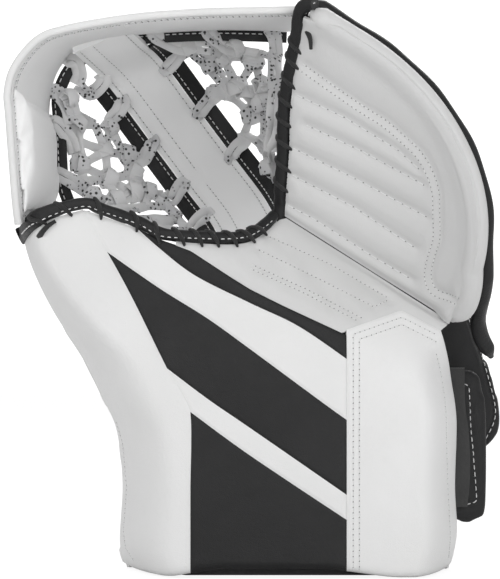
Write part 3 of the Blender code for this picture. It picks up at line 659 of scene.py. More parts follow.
SIDE_TOP = 203.0
SHELL_BACK = 18.6
RIGHT_EDGE_TOP = [(132, 101), (130.6, 115), (127.4, 130), (123.6, 142), PANEL_TOP[-1]]
CUFF_LEFT_EDGE = smooth([(x, z) for z, x in CUFF_LEFT if z < SIDE_TOP] + [LIP[0]], 60)
CUFF_RIGHT_EDGE = smooth([(x, z) for z, x in CUFF_RIGHT if z < 90] + RIGHT_EDGE_TOP, 60)


def lifted(grid):
    """The cuff's front is cut a little higher in its middle than at its two corners."""
    arch = FOOT_ARCH * ease((grid[..., 0] + 62) / 50) * ease((95 - grid[..., 0]) / 50)
    found = np.array(grid, float)
    found[..., 1] += arch * ease(1 - grid[..., 1] / 30)
    return found


def foot_line(height, count):
    return lifted(evenly([(CUFF_LEFT_EDGE[0][0], height), (CUFF_RIGHT_EDGE[0][0], height)], count))


def seam_part(low, high):
    """The seam between the cuff's thumb side and its stripes, between two heights."""
    across, heights = zip(*SEAM)
    first, last = ((float(np.interp(z, heights, across)), z) for z in (low, high))
    return smooth([first] + [p for p in SEAM if low < p[1] < high] + [last], 30)


FOOT_LINE = foot_line(0, 60)
THUMB_PANEL_LINE = [(-73.0, 6), (-79.5, 14), (-81.0, 24), (-79.0, 52), (-81.5, 80), (-86.5, 96)]
SEWN_DOWN = {"groove_deep": 0.45, "groove_wide": 0.9, "puff": 0.5}


def cuff_leather():
    seam = smooth(SEAM, 60)
    grid = lifted(patch([CUFF_LEFT_EDGE[0], seam[0]], smooth(LIP[:3], 30), CUFF_LEFT_EDGE, seam))
    thumb = panel("thumb_panel_leather", grid, cuff_depth, WHITE, "cuff", ["thumb_panel"], [FOOT_LINE],
                  grooves=[THUMB_PANEL_LINE], **SEWN_DOWN)
    stitch_rows("thumb_panel_stitching", [THUMB_PANEL_LINE], thumb, "cuff", (3.0,))
    foot = [SEAM[0], (RIGHT_SEAM_X, 0)]
    for name, low, high, material in (("lower_panel", foot, BLACK_TOP, BLACK),
                                      ("lower_stripe", BLACK_TOP, WIDE_LOW, WHITE),
                                      ("wide_stripe", WIDE_LOW, WIDE_HIGH, BLACK)):
        seam = seam_part(low[0][1], high[0][1])
        grid = lifted(patch(smooth(low, 60), smooth(high, 60), seam, [low[-1], high[-1]]))
        panel(name + "_leather", grid, cuff_depth, material, "cuff", ["cuff_" + name], [FOOT_LINE], puff=0.5)
    thin_low, end = smooth(THIN_LOW, 60), evenly([SEAM[-2], SEAM[-1], LIP[3], LIP[4]], 40)
    grid = patch(smooth(WIDE_HIGH, 60), thin_low, end, [WIDE_HIGH[-1], THIN_LOW[-1]])
    panel("middle_stripe_leather", grid, cuff_depth, WHITE, "cuff", ["cuff_middle_stripe"], puff=0.5)
    grid = patch(thin_low, smooth(THIN_HIGH, 60), LIP[4:6], [THIN_LOW[-1], THIN_HIGH[-1]], 1.8)
    panel("thin_stripe_leather", grid, cuff_depth, BLACK, "cuff", ["cuff_thin_stripe"], puff=0.3)


# The quilting of the palm, and the stitching of the panel on the heel side
PALM_LINES = [
    [(5.6, 214.9), (50.2, 194.9), (88.0, 172.9)],
    [(3.1, 204.8), (38.1, 188.0), (77.6, 168.0), (88.0, 172.9)],
    [(0.6, 194.7), (34.9, 179.2), (69.8, 161.1)],
    [(-0.6, 192.3), (33.6, 176.7), (67.2, 159.3)],
]
RIGHT_PANEL_LINES = [
    [(64, 4), (64, 151), (95, 161.5), (117, 150.5)],
    [(67.8, 4), (67.8, 148), (95, 157), (117, 146)],
    [(126.0, 8), (126.6, 24), (125.5, 46), (124.2, 70), (123.4, 90), (122.6, 112), (120.0, 128),
     (116.5, 140)],
]


def palm_leather():
    break_edge = [from_break(along, -BREAK_GAP) for along in (2, 40, 80, 110, 126)]
    low = evenly([(-46, 206.3)] + THIN_HIGH[1:], 60)
    low = np.concatenate([smooth(low, 60)[:-1], evenly(PANEL_TOP, 60)])
    high = np.concatenate([smooth([(-46, 209)] + LIP[6:], 60)[:-1], evenly(break_edge, 60)])
    grid = patch(low, high, [low[0], high[0]], [low[-1], high[-1]], 2.0)
    # The upper palm's leather is painted shade, darker than the cuff's white
    palm = panel("palm_upper_leather", grid, cuff_depth, WHITE_PAINTED_SHADE, CREASE_BELOW, ["palm_upper_panel"],
                 seam=0.4, grooves=PALM_LINES[:3], groove_deep=1.3, groove_wide=1.7, puff=1.6)
    stitch_rows("palm_upper_stitching", PALM_LINES, palm, "cuff")
    side = [(RIGHT_SEAM_X, 0), PANEL_TOP[0]]
    grid = lifted(patch([side[0], CUFF_RIGHT_EDGE[0]], PANEL_TOP, side, CUFF_RIGHT_EDGE))
    right = panel("right_panel_leather", grid, cuff_depth, WHITE, "cuff", ["cuff_right_panel"], [FOOT_LINE],
                  grooves=RIGHT_PANEL_LINES, lift=0.5, **SEWN_DOWN)
    stitch_rows("right_panel_stitching", RIGHT_PANEL_LINES, right, "cuff", (3.4,))


LINER_DEPTH = 4.6
LINER_THICK = 1.4


def break_shade_liner():
    """Dark strips behind the crease, one on each side of the break, seen through the thin gap between the two
    leathers: painted shade for the crease's dark line.
    """
    for name, side, surface, body in (("lower", -1, cuff_depth, CREASE_BELOW),
                                      ("upper", 1, finger_depth, CREASE_ABOVE)):
        grid = np.array([[from_break(along, side * across) for along in np.linspace(3, 124, 50)]
                         for across in (0, 0.8, 1.6, 2.6, 4.0, 6.0, 8.0)])
        near = raised(grid, surface(grid[..., 0], grid[..., 1]) + LINER_DEPTH)
        make("break_shade_liner_" + name, *closed(near, near + BEHIND * LINER_THICK), LINING, body)


WRAP_SHEET = 2.0
PIPING_RADIUS = 1.5


def edge_wrap(name, line, depths, bow, material, nodes):
    """Leather that turns over an edge of the cuff and runs back to the lining."""
    out = sideways(line)
    shares = np.linspace(0, 1, 12)
    sheets = []
    for inward in (0.0, WRAP_SHEET):
        sheet = []
        for share in shares:
            base = line + out * (bow * math.sin(math.pi * share) - 0.3 - inward)
            depth = depths[0] + (depths[1] - depths[0]) * share
            sheet.append(point_behind(cuff_depth, base, depth))
        sheets.append(np.array(sheet))
        sheets[-1][..., 2] = np.maximum(sheets[-1][..., 2], 0.2)
    make(name, *closed(*sheets), material, "cuff", nodes)


def cuff_edges():
    """The cuff's three free edges, which close in its foam and board, and the cord piped along them."""
    for name, line, start, bow, material, nodes in (
            ("left", CUFF_LEFT_EDGE, 0.8, 1.6, WHITE, ["cuff_foam"]),
            ("right", CUFF_RIGHT_EDGE[::-1], 0.8, 1.6, WHITE, ["cuff_board"]),
            ("foot", foot_line(1.2, 80)[::-1], 4.0, 0.4, BLACK, [])):
        edge_wrap("cuff_edge_" + name, line, (start, SHELL_BACK), bow, material, nodes)
        on, out = surface_row(shifted(line, -0.6), cuff_depth, SHELL_BACK - 0.2)
        on[:, 2] = np.maximum(on[:, 2], 1.6)
        make("cuff_piping_" + name, *tube(on, PIPING_RADIUS, PIPING_RADIUS, 8, ups=out), BINDING, "cuff")


LINING_CHANNEL = 26.0
CUFF_LINING_DEPTH = 17.0
FINGER_LINING_DEPTH = 16.4
BOARD_DEPTHS = (12.4, 13.8)


def lining(name, grid, surface, depth, body, nodes):
    """Quilted lining: shallow channels that run across it."""
    to_edge = away_from(grid, border(grid))
    swell = 0.9 * np.abs(np.sin(grid[..., 1] / LINING_CHANNEL * math.pi)) ** 0.6 * ease(to_edge / 6)
    near, far = point_behind(surface, grid, depth), point_behind(surface, grid, depth + 1.2 + swell)
    make(name, *closed(near, far), LINING, body, nodes)


def cuff_lining():
    heel = [from_break(along, -0.2) for along in (8, 50, 90, 125)]
    left = smooth([(x + 1.6, z) for z, x in CUFF_LEFT if z < SIDE_TOP] + [LIP[0]], 60)
    right = smooth([(x - 1.6, z) for z, x in CUFF_RIGHT if z < 130] + [heel[-1]], 60)
    high = np.concatenate([smooth(LIP[:-1], 60)[:-1], smooth([LIP[-2]] + heel[1:], 60)])
    low = evenly([(left[0][0], 1.0), (right[0][0], 1.0)], 40)
    grid = patch(low, high, left, right, 4.0)
    lining("cuff_lining_fabric", grid, cuff_depth, CUFF_LINING_DEPTH, CREASE_BELOW, ["cuff_lining"])


# Where each turn of black lace starts along a binding, and how far it leans over the binding's width
LIP_WRAPS = [47, 65, 87, 112, 128, 142, 153, 163, 174, 184, 193]
FINGER_WRAPS = [22, 36, 51, 66, 80, 94, 108, 119]
WRAP_LEAN = 8.0
WRAP_TURN = 1.35
WRAP_WIDE = 1.5
WRAP_THICK = 1.1


def whip(points, outs, half_wide, half_deep, spacing, lean):
    """Lace turns that wrap slantwise over a binding, given by its middle line and directions out of the glove."""
    at = distances(points)
    runs = unit(np.gradient(points, axis=0))
    turns = np.linspace(-WRAP_TURN, WRAP_TURN, 13)
    angle = turns[:, None]
    end = ease((angle - 0.75) / 0.6)
    parts = []
    for start in spacing:
        places = np.clip(start + lean * turns / (2 * WRAP_TURN), 0, at[-1])
        base, run, out = (read_at(places, at, rows) for rows in (points, runs, outs))
        side = unit(np.cross(run, out))
        path = base + side * np.sin(angle) * (half_wide + 0.6 + 1.9 * end)
        path = path + out * np.cos(angle) * (half_deep + 0.5)
        face = side * np.sin(angle) + out * np.cos(angle)
        parts.append(tube(path, WRAP_WIDE * (1 - 0.45 * end[:, 0]), WRAP_THICK, 8, ups=face))
    return parts


def loose_end(points, count, first, last):
    """The free end of a black lace, which narrows towards its tip."""
    return tube(smooth(points, count), np.linspace(first, last, count + 1), 1.2, 8)


def lip():
    """Binding folded over the cuff's pocket edge, with its stitching and its lace."""
    line = smooth(LIP, 90)
    broad = ease((-105 - line[:, 0]) / 30)
    line = shifted(line, 3.9 + 0.9 * broad)
    on, out = surface_row(line, cuff_depth, 1.0, 90)
    steps = np.arange(len(on))
    half = (3.6 + 2.0 * broad) * (1 + 0.04 * np.sin(steps * 0.9))
    deep = 3.0 + 2.2 * ease(steps / 12.0)
    make("lip_binding_leather", *tube(on, half, deep, 18, ups=out, power=0.7), BLACK, "cuff", ["lip_binding"])
    points, face = surface_row(shifted(line, -1.9 - 1.2 * broad), cuff_depth, -3.5, 90)
    sewn("lip_binding_stitching", points[3:-2], face[3:-2], BINDING_STITCH, THREAD_WHITE, "cuff")
    end = [(-130, 211, 1), (-127.5, 214.5, -1.6), (-124, 218, -2.2), (-119.5, 221, -1.8)]
    end = loose_end([(x, cuff_depth(x, z) + depth, z) for x, z, depth in end], 14, 2.1, 1.2)
    make("lip_lacing", *joined(whip(on, out, 3.7, 5.0, LIP_WRAPS, WRAP_LEAN) + [end]), CORD_BLACK, "cuff")


# ---- Pocket ----

def towards_pocket(path):
    """Directions square to a path round the pocket, towards its middle."""
    run = np.gradient(path, axis=0)
    return unit(np.stack([run[:, 2], np.zeros(len(run)), -run[:, 0]], -1))


def rim_edges(count=150):
    """The wall's outer front, outer back, inner back and inner front edges."""
    front, back = smooth(RIM_FRONT, count), smooth(RIM_BACK, count)
    return front, back, back + towards_pocket(back) * WALL_BACK, front + towards_pocket(front) * WALL_HEM


WALL_BOW = 1.2
HEM_AHEAD = 0.004
HEM_HALF = (2.4, 2.0)
# The rows of stitching behind the hem, as shares of the wall's depth
HEM_ROWS = (0.055, 0.095)


def rim_section(name, first, last, body, nodes):
    """Part of the soft wall round the pocket, with the hem along its front edge."""
    outer_front, outer_back, inner_back, inner_front = (e[first:last] for e in rim_edges())
    out = unit(outer_back - inner_back)
    rings = []
    shares = np.linspace(0, 1, 26)
    for t in shares:
        rings.append(outer_front * (1 - t) + outer_back * t + out * (WALL_BOW * 4 * t * (1 - t)))
    for t in shares[::-1]:
        bow = (2.0 + 1.1 * folds(len(out), 0.06, t * 2.2, first * 0.01 + 1.0)[:, None]) * math.sin(math.pi * t)
        rings.append(inner_front * (1 - t) + inner_back * t - out * bow)
    # The wall's leather is painted light, paler than the cuff's white
    make(name, *ringed(np.stack(rings, 1)), WHITE_PAINTED_LIGHT, body, nodes)
    hem = (outer_front + inner_front) / 2 + (outer_front - outer_back) * HEM_AHEAD
    ups = unit(outer_front - outer_back)
    make(name.replace("leather", "hem"), *tube(hem, *HEM_HALF, 12, ups=ups), WHITE, body)
    thread, holes = [], []
    inside = unit(inner_front - outer_front)
    for share in HEM_ROWS:
        line = inner_front * (1 - share) + inner_back * share
        thread += stitches(line + inside * 0.75, inside, *RIM_STITCH)
        holes += needle_holes(line + inside * 0.95, inside, sum(RIM_STITCH[:2]))
    make(name.replace("leather", "stitching"), *joined(thread), THREAD_PALE, body)
    # The needle holes are painted shade
    make(name.replace("leather", "holes"), *joined(holes), HOLE_SHADE, body)


SPINE_COUNT = 72


def spine_rows():
    """Points down the middle of the pocket, the directions across it and the directions behind it."""
    path = smooth(SPINE, SPINE_COUNT)
    run = unit(np.gradient(path, axis=0))
    turn = np.array([hermite(SPINE_TURN, k / SPINE_COUNT) for k in range(SPINE_COUNT + 1)])
    across = np.stack([np.cos(turn), 0 * turn, np.sin(turn)], -1)
    across = unit(across - run * (across * run).sum(1)[:, None])
    behind = np.cross(run, across)
    return path, across, -behind if behind[0][1] < 0 else behind


SPINE_ROWS = spine_rows()


def spine_at(share, across_by, behind_by=0.0):
    """Point of the spine. Shares under 0 go on straight past its upper end."""
    path = SPINE_ROWS[0]
    at = share * SPINE_COUNT
    point, side, back = (read_at(at, np.arange(SPINE_COUNT + 1), rows) for rows in SPINE_ROWS)
    point = point + (path[0] - path[1]) * max(0.0, -at)
    return point + side * across_by + back * behind_by


def spine_strip(name, low, high, thick, material, nodes, first, crown, rows):
    """Band of leather down the pocket, crowned across its width, with rows of stitching."""
    shares = np.linspace(first, 1, int((1.0 - first) * SPINE_COUNT) + 1)
    places = np.concatenate([[0, 0.02, 0.05], np.linspace(0.1, 0.9, 15), [0.95, 0.98, 1]])
    widths = low + (high - low) * places
    front = []
    for share in shares:
        front.append([])
        for t, width in zip(places, widths):
            fold = noise.noise(Vector((share * 9, t * 3.0, 5.0))) * 0.9
            rise = crown * (1 - (2 * t - 1) ** 4) + fold * math.sin(math.pi * t) * crown
            for row in rows:
                rise -= 0.5 * math.exp(-(((t - row) * (high - low)) / 1.2) ** 2)
            front[-1].append(spine_at(share, width, -rise))
    back = [[spine_at(share, width, thick) for width in widths] for share in shares]
    make(name, *closed(front, back), material, POCKET_FOLD, nodes)
    pale = material == WHITE_PAINTED_LIGHT
    thread, holes = [], []
    for row in rows:
        width = low + (high - low) * row
        line = np.array([spine_at(share, width, -crown * 0.6) for share in shares])
        out = unit(line - np.array([spine_at(share, width, 1) for share in shares]))
        thread += stitches(line, out, *SPINE_STITCH)
        holes += needle_holes(line + out * 0.3, out, sum(SPINE_STITCH[:2]))
    thread_colour = THREAD_PALE if pale else THREAD_WHITE
    make(name.replace("leather", "stitching"), *joined(thread), thread_colour, POCKET_FOLD)
    if pale:
        # The needle holes are painted shade
        make(name.replace("leather", "holes"), *joined(holes), HOLE_SHADE, POCKET_FOLD)


def lace_strip(name, path, width, body, nodes):
    """Black strip inside the rim's back edge, which the laces pass round."""
    path = smooth(path, 50)
    side = towards_pocket(path)
    shares = np.linspace(0, 1, 8)
    front = [path + side * width * t - BEHIND * 0.5 * math.sin(math.pi * t) for t in shares]
    back = [path + side * width * t + BEHIND * 2.0 for t in shares]
    make(name, *closed(front, back), BLACK, body, nodes)
    line = path + side * width * 0.3 - BEHIND * 0.5
    sewn(name.replace("leather", "stitching"), line, -BEHIND, STRIP_STITCH, THREAD_WHITE, body)


THUMB_STRIP = [(-121.5, 45, 235), (-125.5, 47, 249), (-127.5, 49, 284), (-128.8, 50, 303), (-124.5, 50, 317),
               (-117, 50, 328), (-106, 50, 335)]
CROWN_STRIP = [(-78, 50, 344.2), (-60, 50, 346), (-30, 50, 347.3), (0, 50, 347), (24, 49, 346)]
SPINE_STRIP_THICK = 2.2
CROWN_START = 91


def pocket_leather():
    half, outside = SPINE_HALF, SPINE_HALF + 0.5 + STRIP_WIDTH
    # The spine's leather is painted light, paler than the cuff's white
    spine_strip("pocket_spine_leather", -half, half, SPINE_THICK, WHITE_PAINTED_LIGHT, ["pocket_spine"], -0.15, 1.2,
                (0.1, 0.34, 0.9))
    for name, low, high, first, row in (("spine_strip_left", -outside, -half - 0.2, 0.1, 0.74),
                                        ("spine_strip_right", half + 0.2, outside, 0.06, 0.26)):
        spine_strip(name + "_leather", low, high, SPINE_STRIP_THICK, BLACK, [name], first, 0.3, (row,))
    rim_section("thumb_rim_leather", 0, CROWN_START + 1, POCKET_FOLD, ["thumb_rim"])
    rim_section("crown_rim_leather", CROWN_START, 151, WEB_FOLD, ["crown_rim"])
    lace_strip("thumb_strip_leather", THUMB_STRIP, STRIP_WIDTH - 3, POCKET_FOLD, ["thumb_lace_strip"])
    lace_strip("crown_strip_leather", CROWN_STRIP, STRIP_WIDTH - 4, WEB_FOLD, ["crown_lace_strip"])


# ---- Lacing ----

LACE_HALF = 3.0
LACE_THICK = 0.95
WEB_EDGES = {-1: smooth(WEB_LEFT, 60), 1: smooth(WEB_RIGHT, 60)}
WEB_STARTS = {-1: 2 / 12, 1: 1 / 12}


def web_at(side, u, v, forward=0.0):
    """Point of a web: u runs from the glove's edge to the spine, v from the top down."""
    edge = WEB_EDGES[side]
    first = WEB_STARTS[side]
    outer = read_at(v * (len(edge) - 1), np.arange(len(edge)), edge)
    inner = spine_at(first + (1 - first) * v, side * (SPINE_HALF + 1.5 + STRIP_WIDTH))
    point = outer * (1 - u) + inner * u
    return point + BEHIND * (5 * math.sin(math.pi * min(1.0, max(0.0, u))) - forward)


def lace(points, doubled=False):
    """One run of flat lace through points, a little slack and twisted."""
    path = smooth(points, max(10, int(sum(math.dist(a, b) for a, b in zip(points, points[1:])) / 1.8)))
    count = len(path)
    slack = random.uniform(-1.2, 1.2)
    phase = random.uniform(0, 6)
    path = path + BEHIND * (slack * np.sin(np.linspace(0, math.pi, count)))[:, None]
    sway = 0.45 * np.sin(np.linspace(0, count * 0.22, count) + phase)
    ups = unit(np.stack([sway, -np.ones(count), 0.3 * sway], -1))
    width = LACE_HALF * (1 + 0.08 * np.sin(np.linspace(0, count * 0.5, count) + phase))
    if not doubled:
        return [tube(path, width, LACE_THICK, ups=ups, power=0.75)]
    side = unit(np.cross(ups, np.gradient(path, axis=0)))
    side = side * LACE_HALF * 0.82
    return [tube(path + side * s, width * 0.85, LACE_THICK, ups=ups, power=0.75) for s in (-1, 1)]


def knot(centre, size):
    """Overhand knot pulled tight: a few lace turns round one another."""
    parts = []
    turns = np.linspace(0, 2 * math.pi * 1.1, 26)
    for k in range(2):
        tilt = random.uniform(-0.9, 0.9) + k * 1.5
        c, s = math.cos(tilt), math.sin(tilt)
        x, y, z = np.cos(turns) * 3.4, np.sin(turns) * 2.1 - 0.6 * k, np.sin(turns * 0.5 + tilt) * 2.2
        path = np.stack([x * c - z * s, y, x * s + z * c], -1) * size
        parts.append(tube(centre + path, LACE_HALF * size, LACE_THICK * 1.15, ups=unit(path), power=0.8))
    return parts


def web(side, points, runs, knots, extras=()):
    """Parts of the runs and knots of one web, from points given as (u, v)."""
    parts = []
    placed = {name: web_at(side, u, v) for name, (u, v) in points.items()}
    for count, run in enumerate(runs):
        names = run.split()
        layer = BEHIND * (0.9 * (count % 3 - 1))
        parts += lace([placed[name] + layer for name in names], doubled=len(names) > 3 and count % 2 == 0)
    for name in knots.split():
        parts += knot(placed[name] - BEHIND * 1.5, random.uniform(1.3, 1.65))
    for extra in extras:
        parts += lace(extra, doubled=True)
    return parts


def spine_wrap(side, share, to, slope):
    """Points of a lace that comes through beside the spine, crosses its black strip and runs into the web."""
    inner, outer = SPINE_HALF, SPINE_HALF + STRIP_WIDTH + 1
    return [spine_at(share - slope, side * (inner - 0.5), 3.0),
            spine_at(share - slope, side * (inner - 1.8), -2.2),
            spine_at(share - slope * 0.4, side * (inner + 5), -4.2), spine_at(share, side * outer, -2.5), to]


def edge_wrap_lace(start, to, outward):
    """Points of a lace that comes round the outer edge of a strip in the rim and runs into the web."""
    start, outward = np.array(start, float), np.array(outward, float)
    return [start + outward * 1.5 + BEHIND * 3.5, start + outward * 1.8 - BEHIND * 1.5,
            start - outward * 3.5 - BEHIND * 3.0, (start - outward * 8 + to) / 2, to]


# The webs' crossings as (u, v), the laces that run through them, and the crossings that are knotted
LEFT_POINTS = {
    "a": (-0.05, 0.08), "b": (0.06, 0.12), "c": (0.15, 0.17), "d": (0.14, 0.23), "e": (0.51, 0.15),
    "f": (0.84, 0.15), "g": (0.55, 0.27), "h": (0.16, 0.33), "i": (0.84, 0.29), "j": (0.79, 0.38),
    "k": (0.44, 0.40), "l": (0.15, 0.40), "m": (0.62, 0.48), "n": (0.34, 0.52), "o": (0.14, 0.48),
    "p": (0.81, 0.48), "q": (0.95, 0.50), "r": (0.89, 0.56), "s": (0.64, 0.56), "t": (0.03, 0.50),
    "u": (0.02, 0.58), "v": (0.05, 0.66), "w": (0.03, 0.74), "x": (0.9, 0.66), "y": (0.05, 0.82),
    "z": (0.9, 0.78),
}
LEFT_RUNS = ["a b c d h", "d h l o t", "e b", "e g k n o", "f g", "g i", "i j m n", "d g", "g h", "h k m",
             "j p q", "m s u", "p s", "q r s", "k j", "n u", "f j", "s v", "r x v", "p r z", "v x w", "w z y",
             "c e", "l k"]
LEFT_KNOTS = "c f g h i j k m n p o a"
RIGHT_POINTS = {
    "a": (0.38, 0.08), "b": (0.69, 0.23), "c": (0.41, 0.23), "d": (0.74, 0.31), "e": (0.08, 0.21),
    "f": (0.26, 0.27), "g": (0.64, 0.38), "h": (0.26, 0.33), "i": (0.32, 0.46), "j": (0.51, 0.46),
    "k": (0.65, 0.52), "l": (0.92, 0.54), "m": (0.39, 0.54), "n": (0.06, 0.66), "o": (0.01, 0.38),
    "p": (0.05, 0.52), "q": (0.51, 0.62), "r": (0.65, 0.67), "s": (0.14, 0.79), "u": (0.84, 0.75),
    "v": (0.98, 0.8), "w": (0.94, 0.35), "x": (0.78, 0.40), "y": (0.05, 0.12), "z": (0.11, 0.31),
}
RIGHT_RUNS = ["y a b d", "y c a", "b c e", "d g j", "c g", "e f h i", "h g", "i m q", "j k", "j i", "z h",
              "z o", "o p n s", "i p", "m n", "x d", "w x k", "l k m", "c f", "e z", "p j"]
LOW_RUNS = ["l r q", "q r u v", "n s u", "q n", "s v"]
RIGHT_KNOTS = "a c g h i k b j e m w"
# Laces round the spine's strips: the share of its length, the (u, v) they run to, and their slope
LEFT_SPINE_WRAPS = [(0.10, (0.1, 0.02), 0.02), (0.24, (0.84, 0.15), 0.03), (0.43, (0.84, 0.29), 0.03),
                    (0.62, (0.95, 0.5), 0.03), (0.8, (0.9, 0.78), 0.02)]
RIGHT_SPINE_WRAPS = [(0.19, (0.38, 0.08), -0.02), (0.4, (0.94, 0.35), -0.02), (0.6, (0.92, 0.54), -0.02)]
# Laces round the strips in the rim: where they start, and the (u, v) they run to
LEFT_RIM_WRAPS = [((-116, 49, 327), (0.05, 0.02)), ((-127.5, 49, 307), (0.05, 0.17)),
                  ((-127.5, 48.5, 287), (0.1, 0.28)), ((-125.5, 47, 254), (0.1, 0.45))]
RIGHT_RIM_WRAPS = [((-62, 50, 346), (0.38, 0.08)), ((-27, 50, 347), (0.08, 0.21)),
                   ((14, 49.5, 346.5), (0.01, 0.38))]


def lacing():
    """The two webs that lace the pocket to its rim and spine, and the lowest laces, next to the break."""
    left = (LEFT_POINTS, LEFT_RUNS, LEFT_KNOTS, LEFT_SPINE_WRAPS, LEFT_RIM_WRAPS)
    right = (RIGHT_POINTS, RIGHT_RUNS, RIGHT_KNOTS, RIGHT_SPINE_WRAPS, RIGHT_RIM_WRAPS)
    for name, side, (points, runs, knots, on_spine, on_rim), outward, body in (
            ("left", -1, left, (-1, 0, 0.35), POCKET_FOLD), ("right", 1, right, (-0.5, 0, 1.0), WEB_FOLD)):
        wraps = [spine_wrap(side, share, web_at(side, *to), slope) for share, to, slope in on_spine]
        wraps += [edge_wrap_lace(start, web_at(side, *to), outward) for start, to in on_rim]
        make("pocket_laces_" + name, *joined(web(side, points, runs, knots, wraps)), LACE, body,
             ["pocket_web_" + name])
    make("pocket_laces_low", *joined(web(1, RIGHT_POINTS, LOW_RUNS, "r u")), LACE, LOW_WEB_FOLD)


# ---- Finger side ----

FINGER_DOUBLE = [(31.8, 317.6), (49.0, 305.4), (68.6, 291.9), (83.9, 282.1), (96.7, 271.0), (105.3, 262.4),
                 (112.1, 250.9), (116.0, 239.4), (117.1, 224.8), (117.7, 209.6), (115.2, 199.8), (113.4, 187.9),
                 (116.7, 179.2), (124.6, 176.1), (131.5, 172.8)]
FINGER_QUILTING = [
    [(27.8, 299.5), (59.1, 284.5), (91.0, 264.6), (103.8, 252.9)],
    [(33.5, 281.5), (69.3, 264.5), (98.6, 248.2), (107.1, 243.2)],
    [(25.6, 267.7), (69.7, 245.8), (109.5, 223.8)],
    [(25.1, 251.3), (65.0, 230.5), (104.2, 204.2)],
    [(21.4, 233.4), (40.3, 223.3), (78.0, 199.3), (102.4, 184.9)],
]


def finger_grid(margin, step=2.4, foot=0.0):
    """Array of (x, z) over the finger side, which stops short of its rim by a margin."""
    low = evenly([from_break(2, foot), from_break(126, foot)], 60)
    left = smooth([low[0], from_break(-17, 35), from_break(-27.5, 52), from_break(-35, 66),
                   from_break(-46, 88), from_break(-52.5, 110 - margin * 0.7)], 60)
    start = to_break(*left[-1])[0]
    along = RIM_CENTRE + (RIM_ALONG - margin) * 0.985 * np.sin(np.linspace(0, math.pi / 2, 60))
    rim = np.stack(from_break(along, rim_reach(along, margin)), -1)
    first = [tuple(left[-1]), from_break((start + RIM_CENTRE) / 2, RIM_ACROSS - margin)]
    high = evenly(np.concatenate([first, rim]), 90)
    return patch(low, high, left, [low[-1], high[-1]], step)


def rim_path(inset, depth, start, end, count, tail=()):
    """Points along the rim, at an inset from it and a depth behind the face, then along a tail of (x, z)."""
    line = [from_break(start + (RIM_CENTRE - start) * k / 4, RIM_ACROSS - inset) for k in range(4)]
    along = RIM_CENTRE + (RIM_ALONG - inset) * np.sin(np.linspace(0, math.pi / 2, 120))
    along = along[along <= end]
    line = np.concatenate([line, np.stack(from_break(along, rim_reach(along, inset)), -1)])
    if len(tail):
        line = np.concatenate([line, smooth([line[-1], *tail], 20)[1:]])
    found = []
    for x, z in evenly(line, count):
        at, across = to_break(x, z)
        found.append((x, finger_depth(*from_break(at, across - RIM_ROLL + inset)) + depth, z))
    return np.array(found)


def outward(path):
    """Directions away from the middle of the finger side, square to its rim."""
    out = unit(np.cross(np.gradient(path, axis=0), BEHIND))
    return -out if out[len(out) // 2][0] < 0 else out


def over_rim(grid):
    """How far the leather rises where it runs over the rolled rim."""
    along = np.linspace(FINGER_CUT, RIM_CENTRE + RIM_ALONG, 200)
    from_edge = away_from(grid, [np.stack(from_break(along, rim_reach(along)), -1)])
    radius = RIM_ROLL + 0.9
    over = np.sqrt(np.maximum(0.0, radius**2 - np.minimum(0.0, from_edge - RIM_ROLL) ** 2)) - 4.0
    return over * ease((2.6 * RIM_ROLL - from_edge) / (1.6 * RIM_ROLL))


def tapered(count, length, least):
    """Factors for the size of a tube with rounded ends."""
    from_end = np.minimum(np.arange(count), np.arange(count)[::-1])
    return np.sqrt(np.clip(from_end / length, least, 1))


# Where the rolled rim and the binding outside it run on below the rim's round part
ROLL_TAIL = [(137.5, 181), (135, 168.5), (127.5, 160)]
BINDING_TAIL = [(146.8, 182), (146.0, 170), (145.3, 159), (148, 148.5), (152.5, 141), (155.3, 136)]
OVERLAP = 4.8


def finger_leather():
    grid = finger_grid(OVERLAP, 2.1, BREAK_GAP)
    double = smooth(FINGER_DOUBLE, 60)
    # The finger side's leather is painted shade, darker than the cuff's white
    palm = panel("finger_palm_leather", grid, finger_depth, WHITE_PAINTED_SHADE, CREASE_ABOVE, ["finger_palm_panel"],
                 seam=0.5, grooves=[double] + FINGER_QUILTING, groove_deep=1.2, groove_wide=1.9, puff=1.7,
                 rise=over_rim(grid))
    rows = [double, shifted(double, -4.2)] + FINGER_QUILTING
    stitch_rows("finger_palm_stitching", rows, palm, "fingers", (3.1, 3.1, 5.6))


def finger_rim():
    path = rim_path(RIM_ROLL, 4, -51, 117, 150, ROLL_TAIL)
    half = (RIM_ROLL + 0.2 * folds(len(path), 0.06, 0, 9.0)) * tapered(len(path), 5.0, 0.1)
    roll = tube(path, half, half, 24, ups=unit(outward(path) * 0.6 - BEHIND))
    # The rim roll carries the same painted shade as the finger side
    make("finger_rim_leather", *roll, WHITE_PAINTED_SHADE, "fingers", ["finger_rim_roll"])


def finger_outer_binding():
    path = rim_path(0.0, 21, -54, 112, 160, BINDING_TAIL)
    out = outward(path)
    ends = tapered(len(path), 4.0, 0.15)
    swell = 1 + 0.07 * np.sin(np.arange(len(path)) * 0.26)
    facing = unit(np.cross(out, np.gradient(path, axis=0)))
    binding = tube(path, 4.9 * ends * swell, 6.0 * ends, 20, ups=facing, power=0.85)
    make("finger_outer_binding_leather", *binding, BLACK, "fingers", ["finger_outer_binding"])
    line = path + out * 4.5 + BEHIND * 2.4
    sewn("finger_outer_stitching", line[3:-3], out[3:-3], OUTER_STITCH, THREAD_WHITE, "fingers")


def finger_edge():
    """Leather side of the finger board, behind its rim: it holds the foam and the board."""
    front, back = [], []
    for share in np.linspace(0, 1, 10):
        bow = math.sin(math.pi * share)
        for rows, inset in ((front, 9.0 - bow), (back, 12.0 - bow)):
            rows.append(rim_path(inset, 9 + 9 * share, -50, 117, 120))
    make("finger_edge_leather", *closed(front, back), BLACK, "fingers", ["finger_foam"])


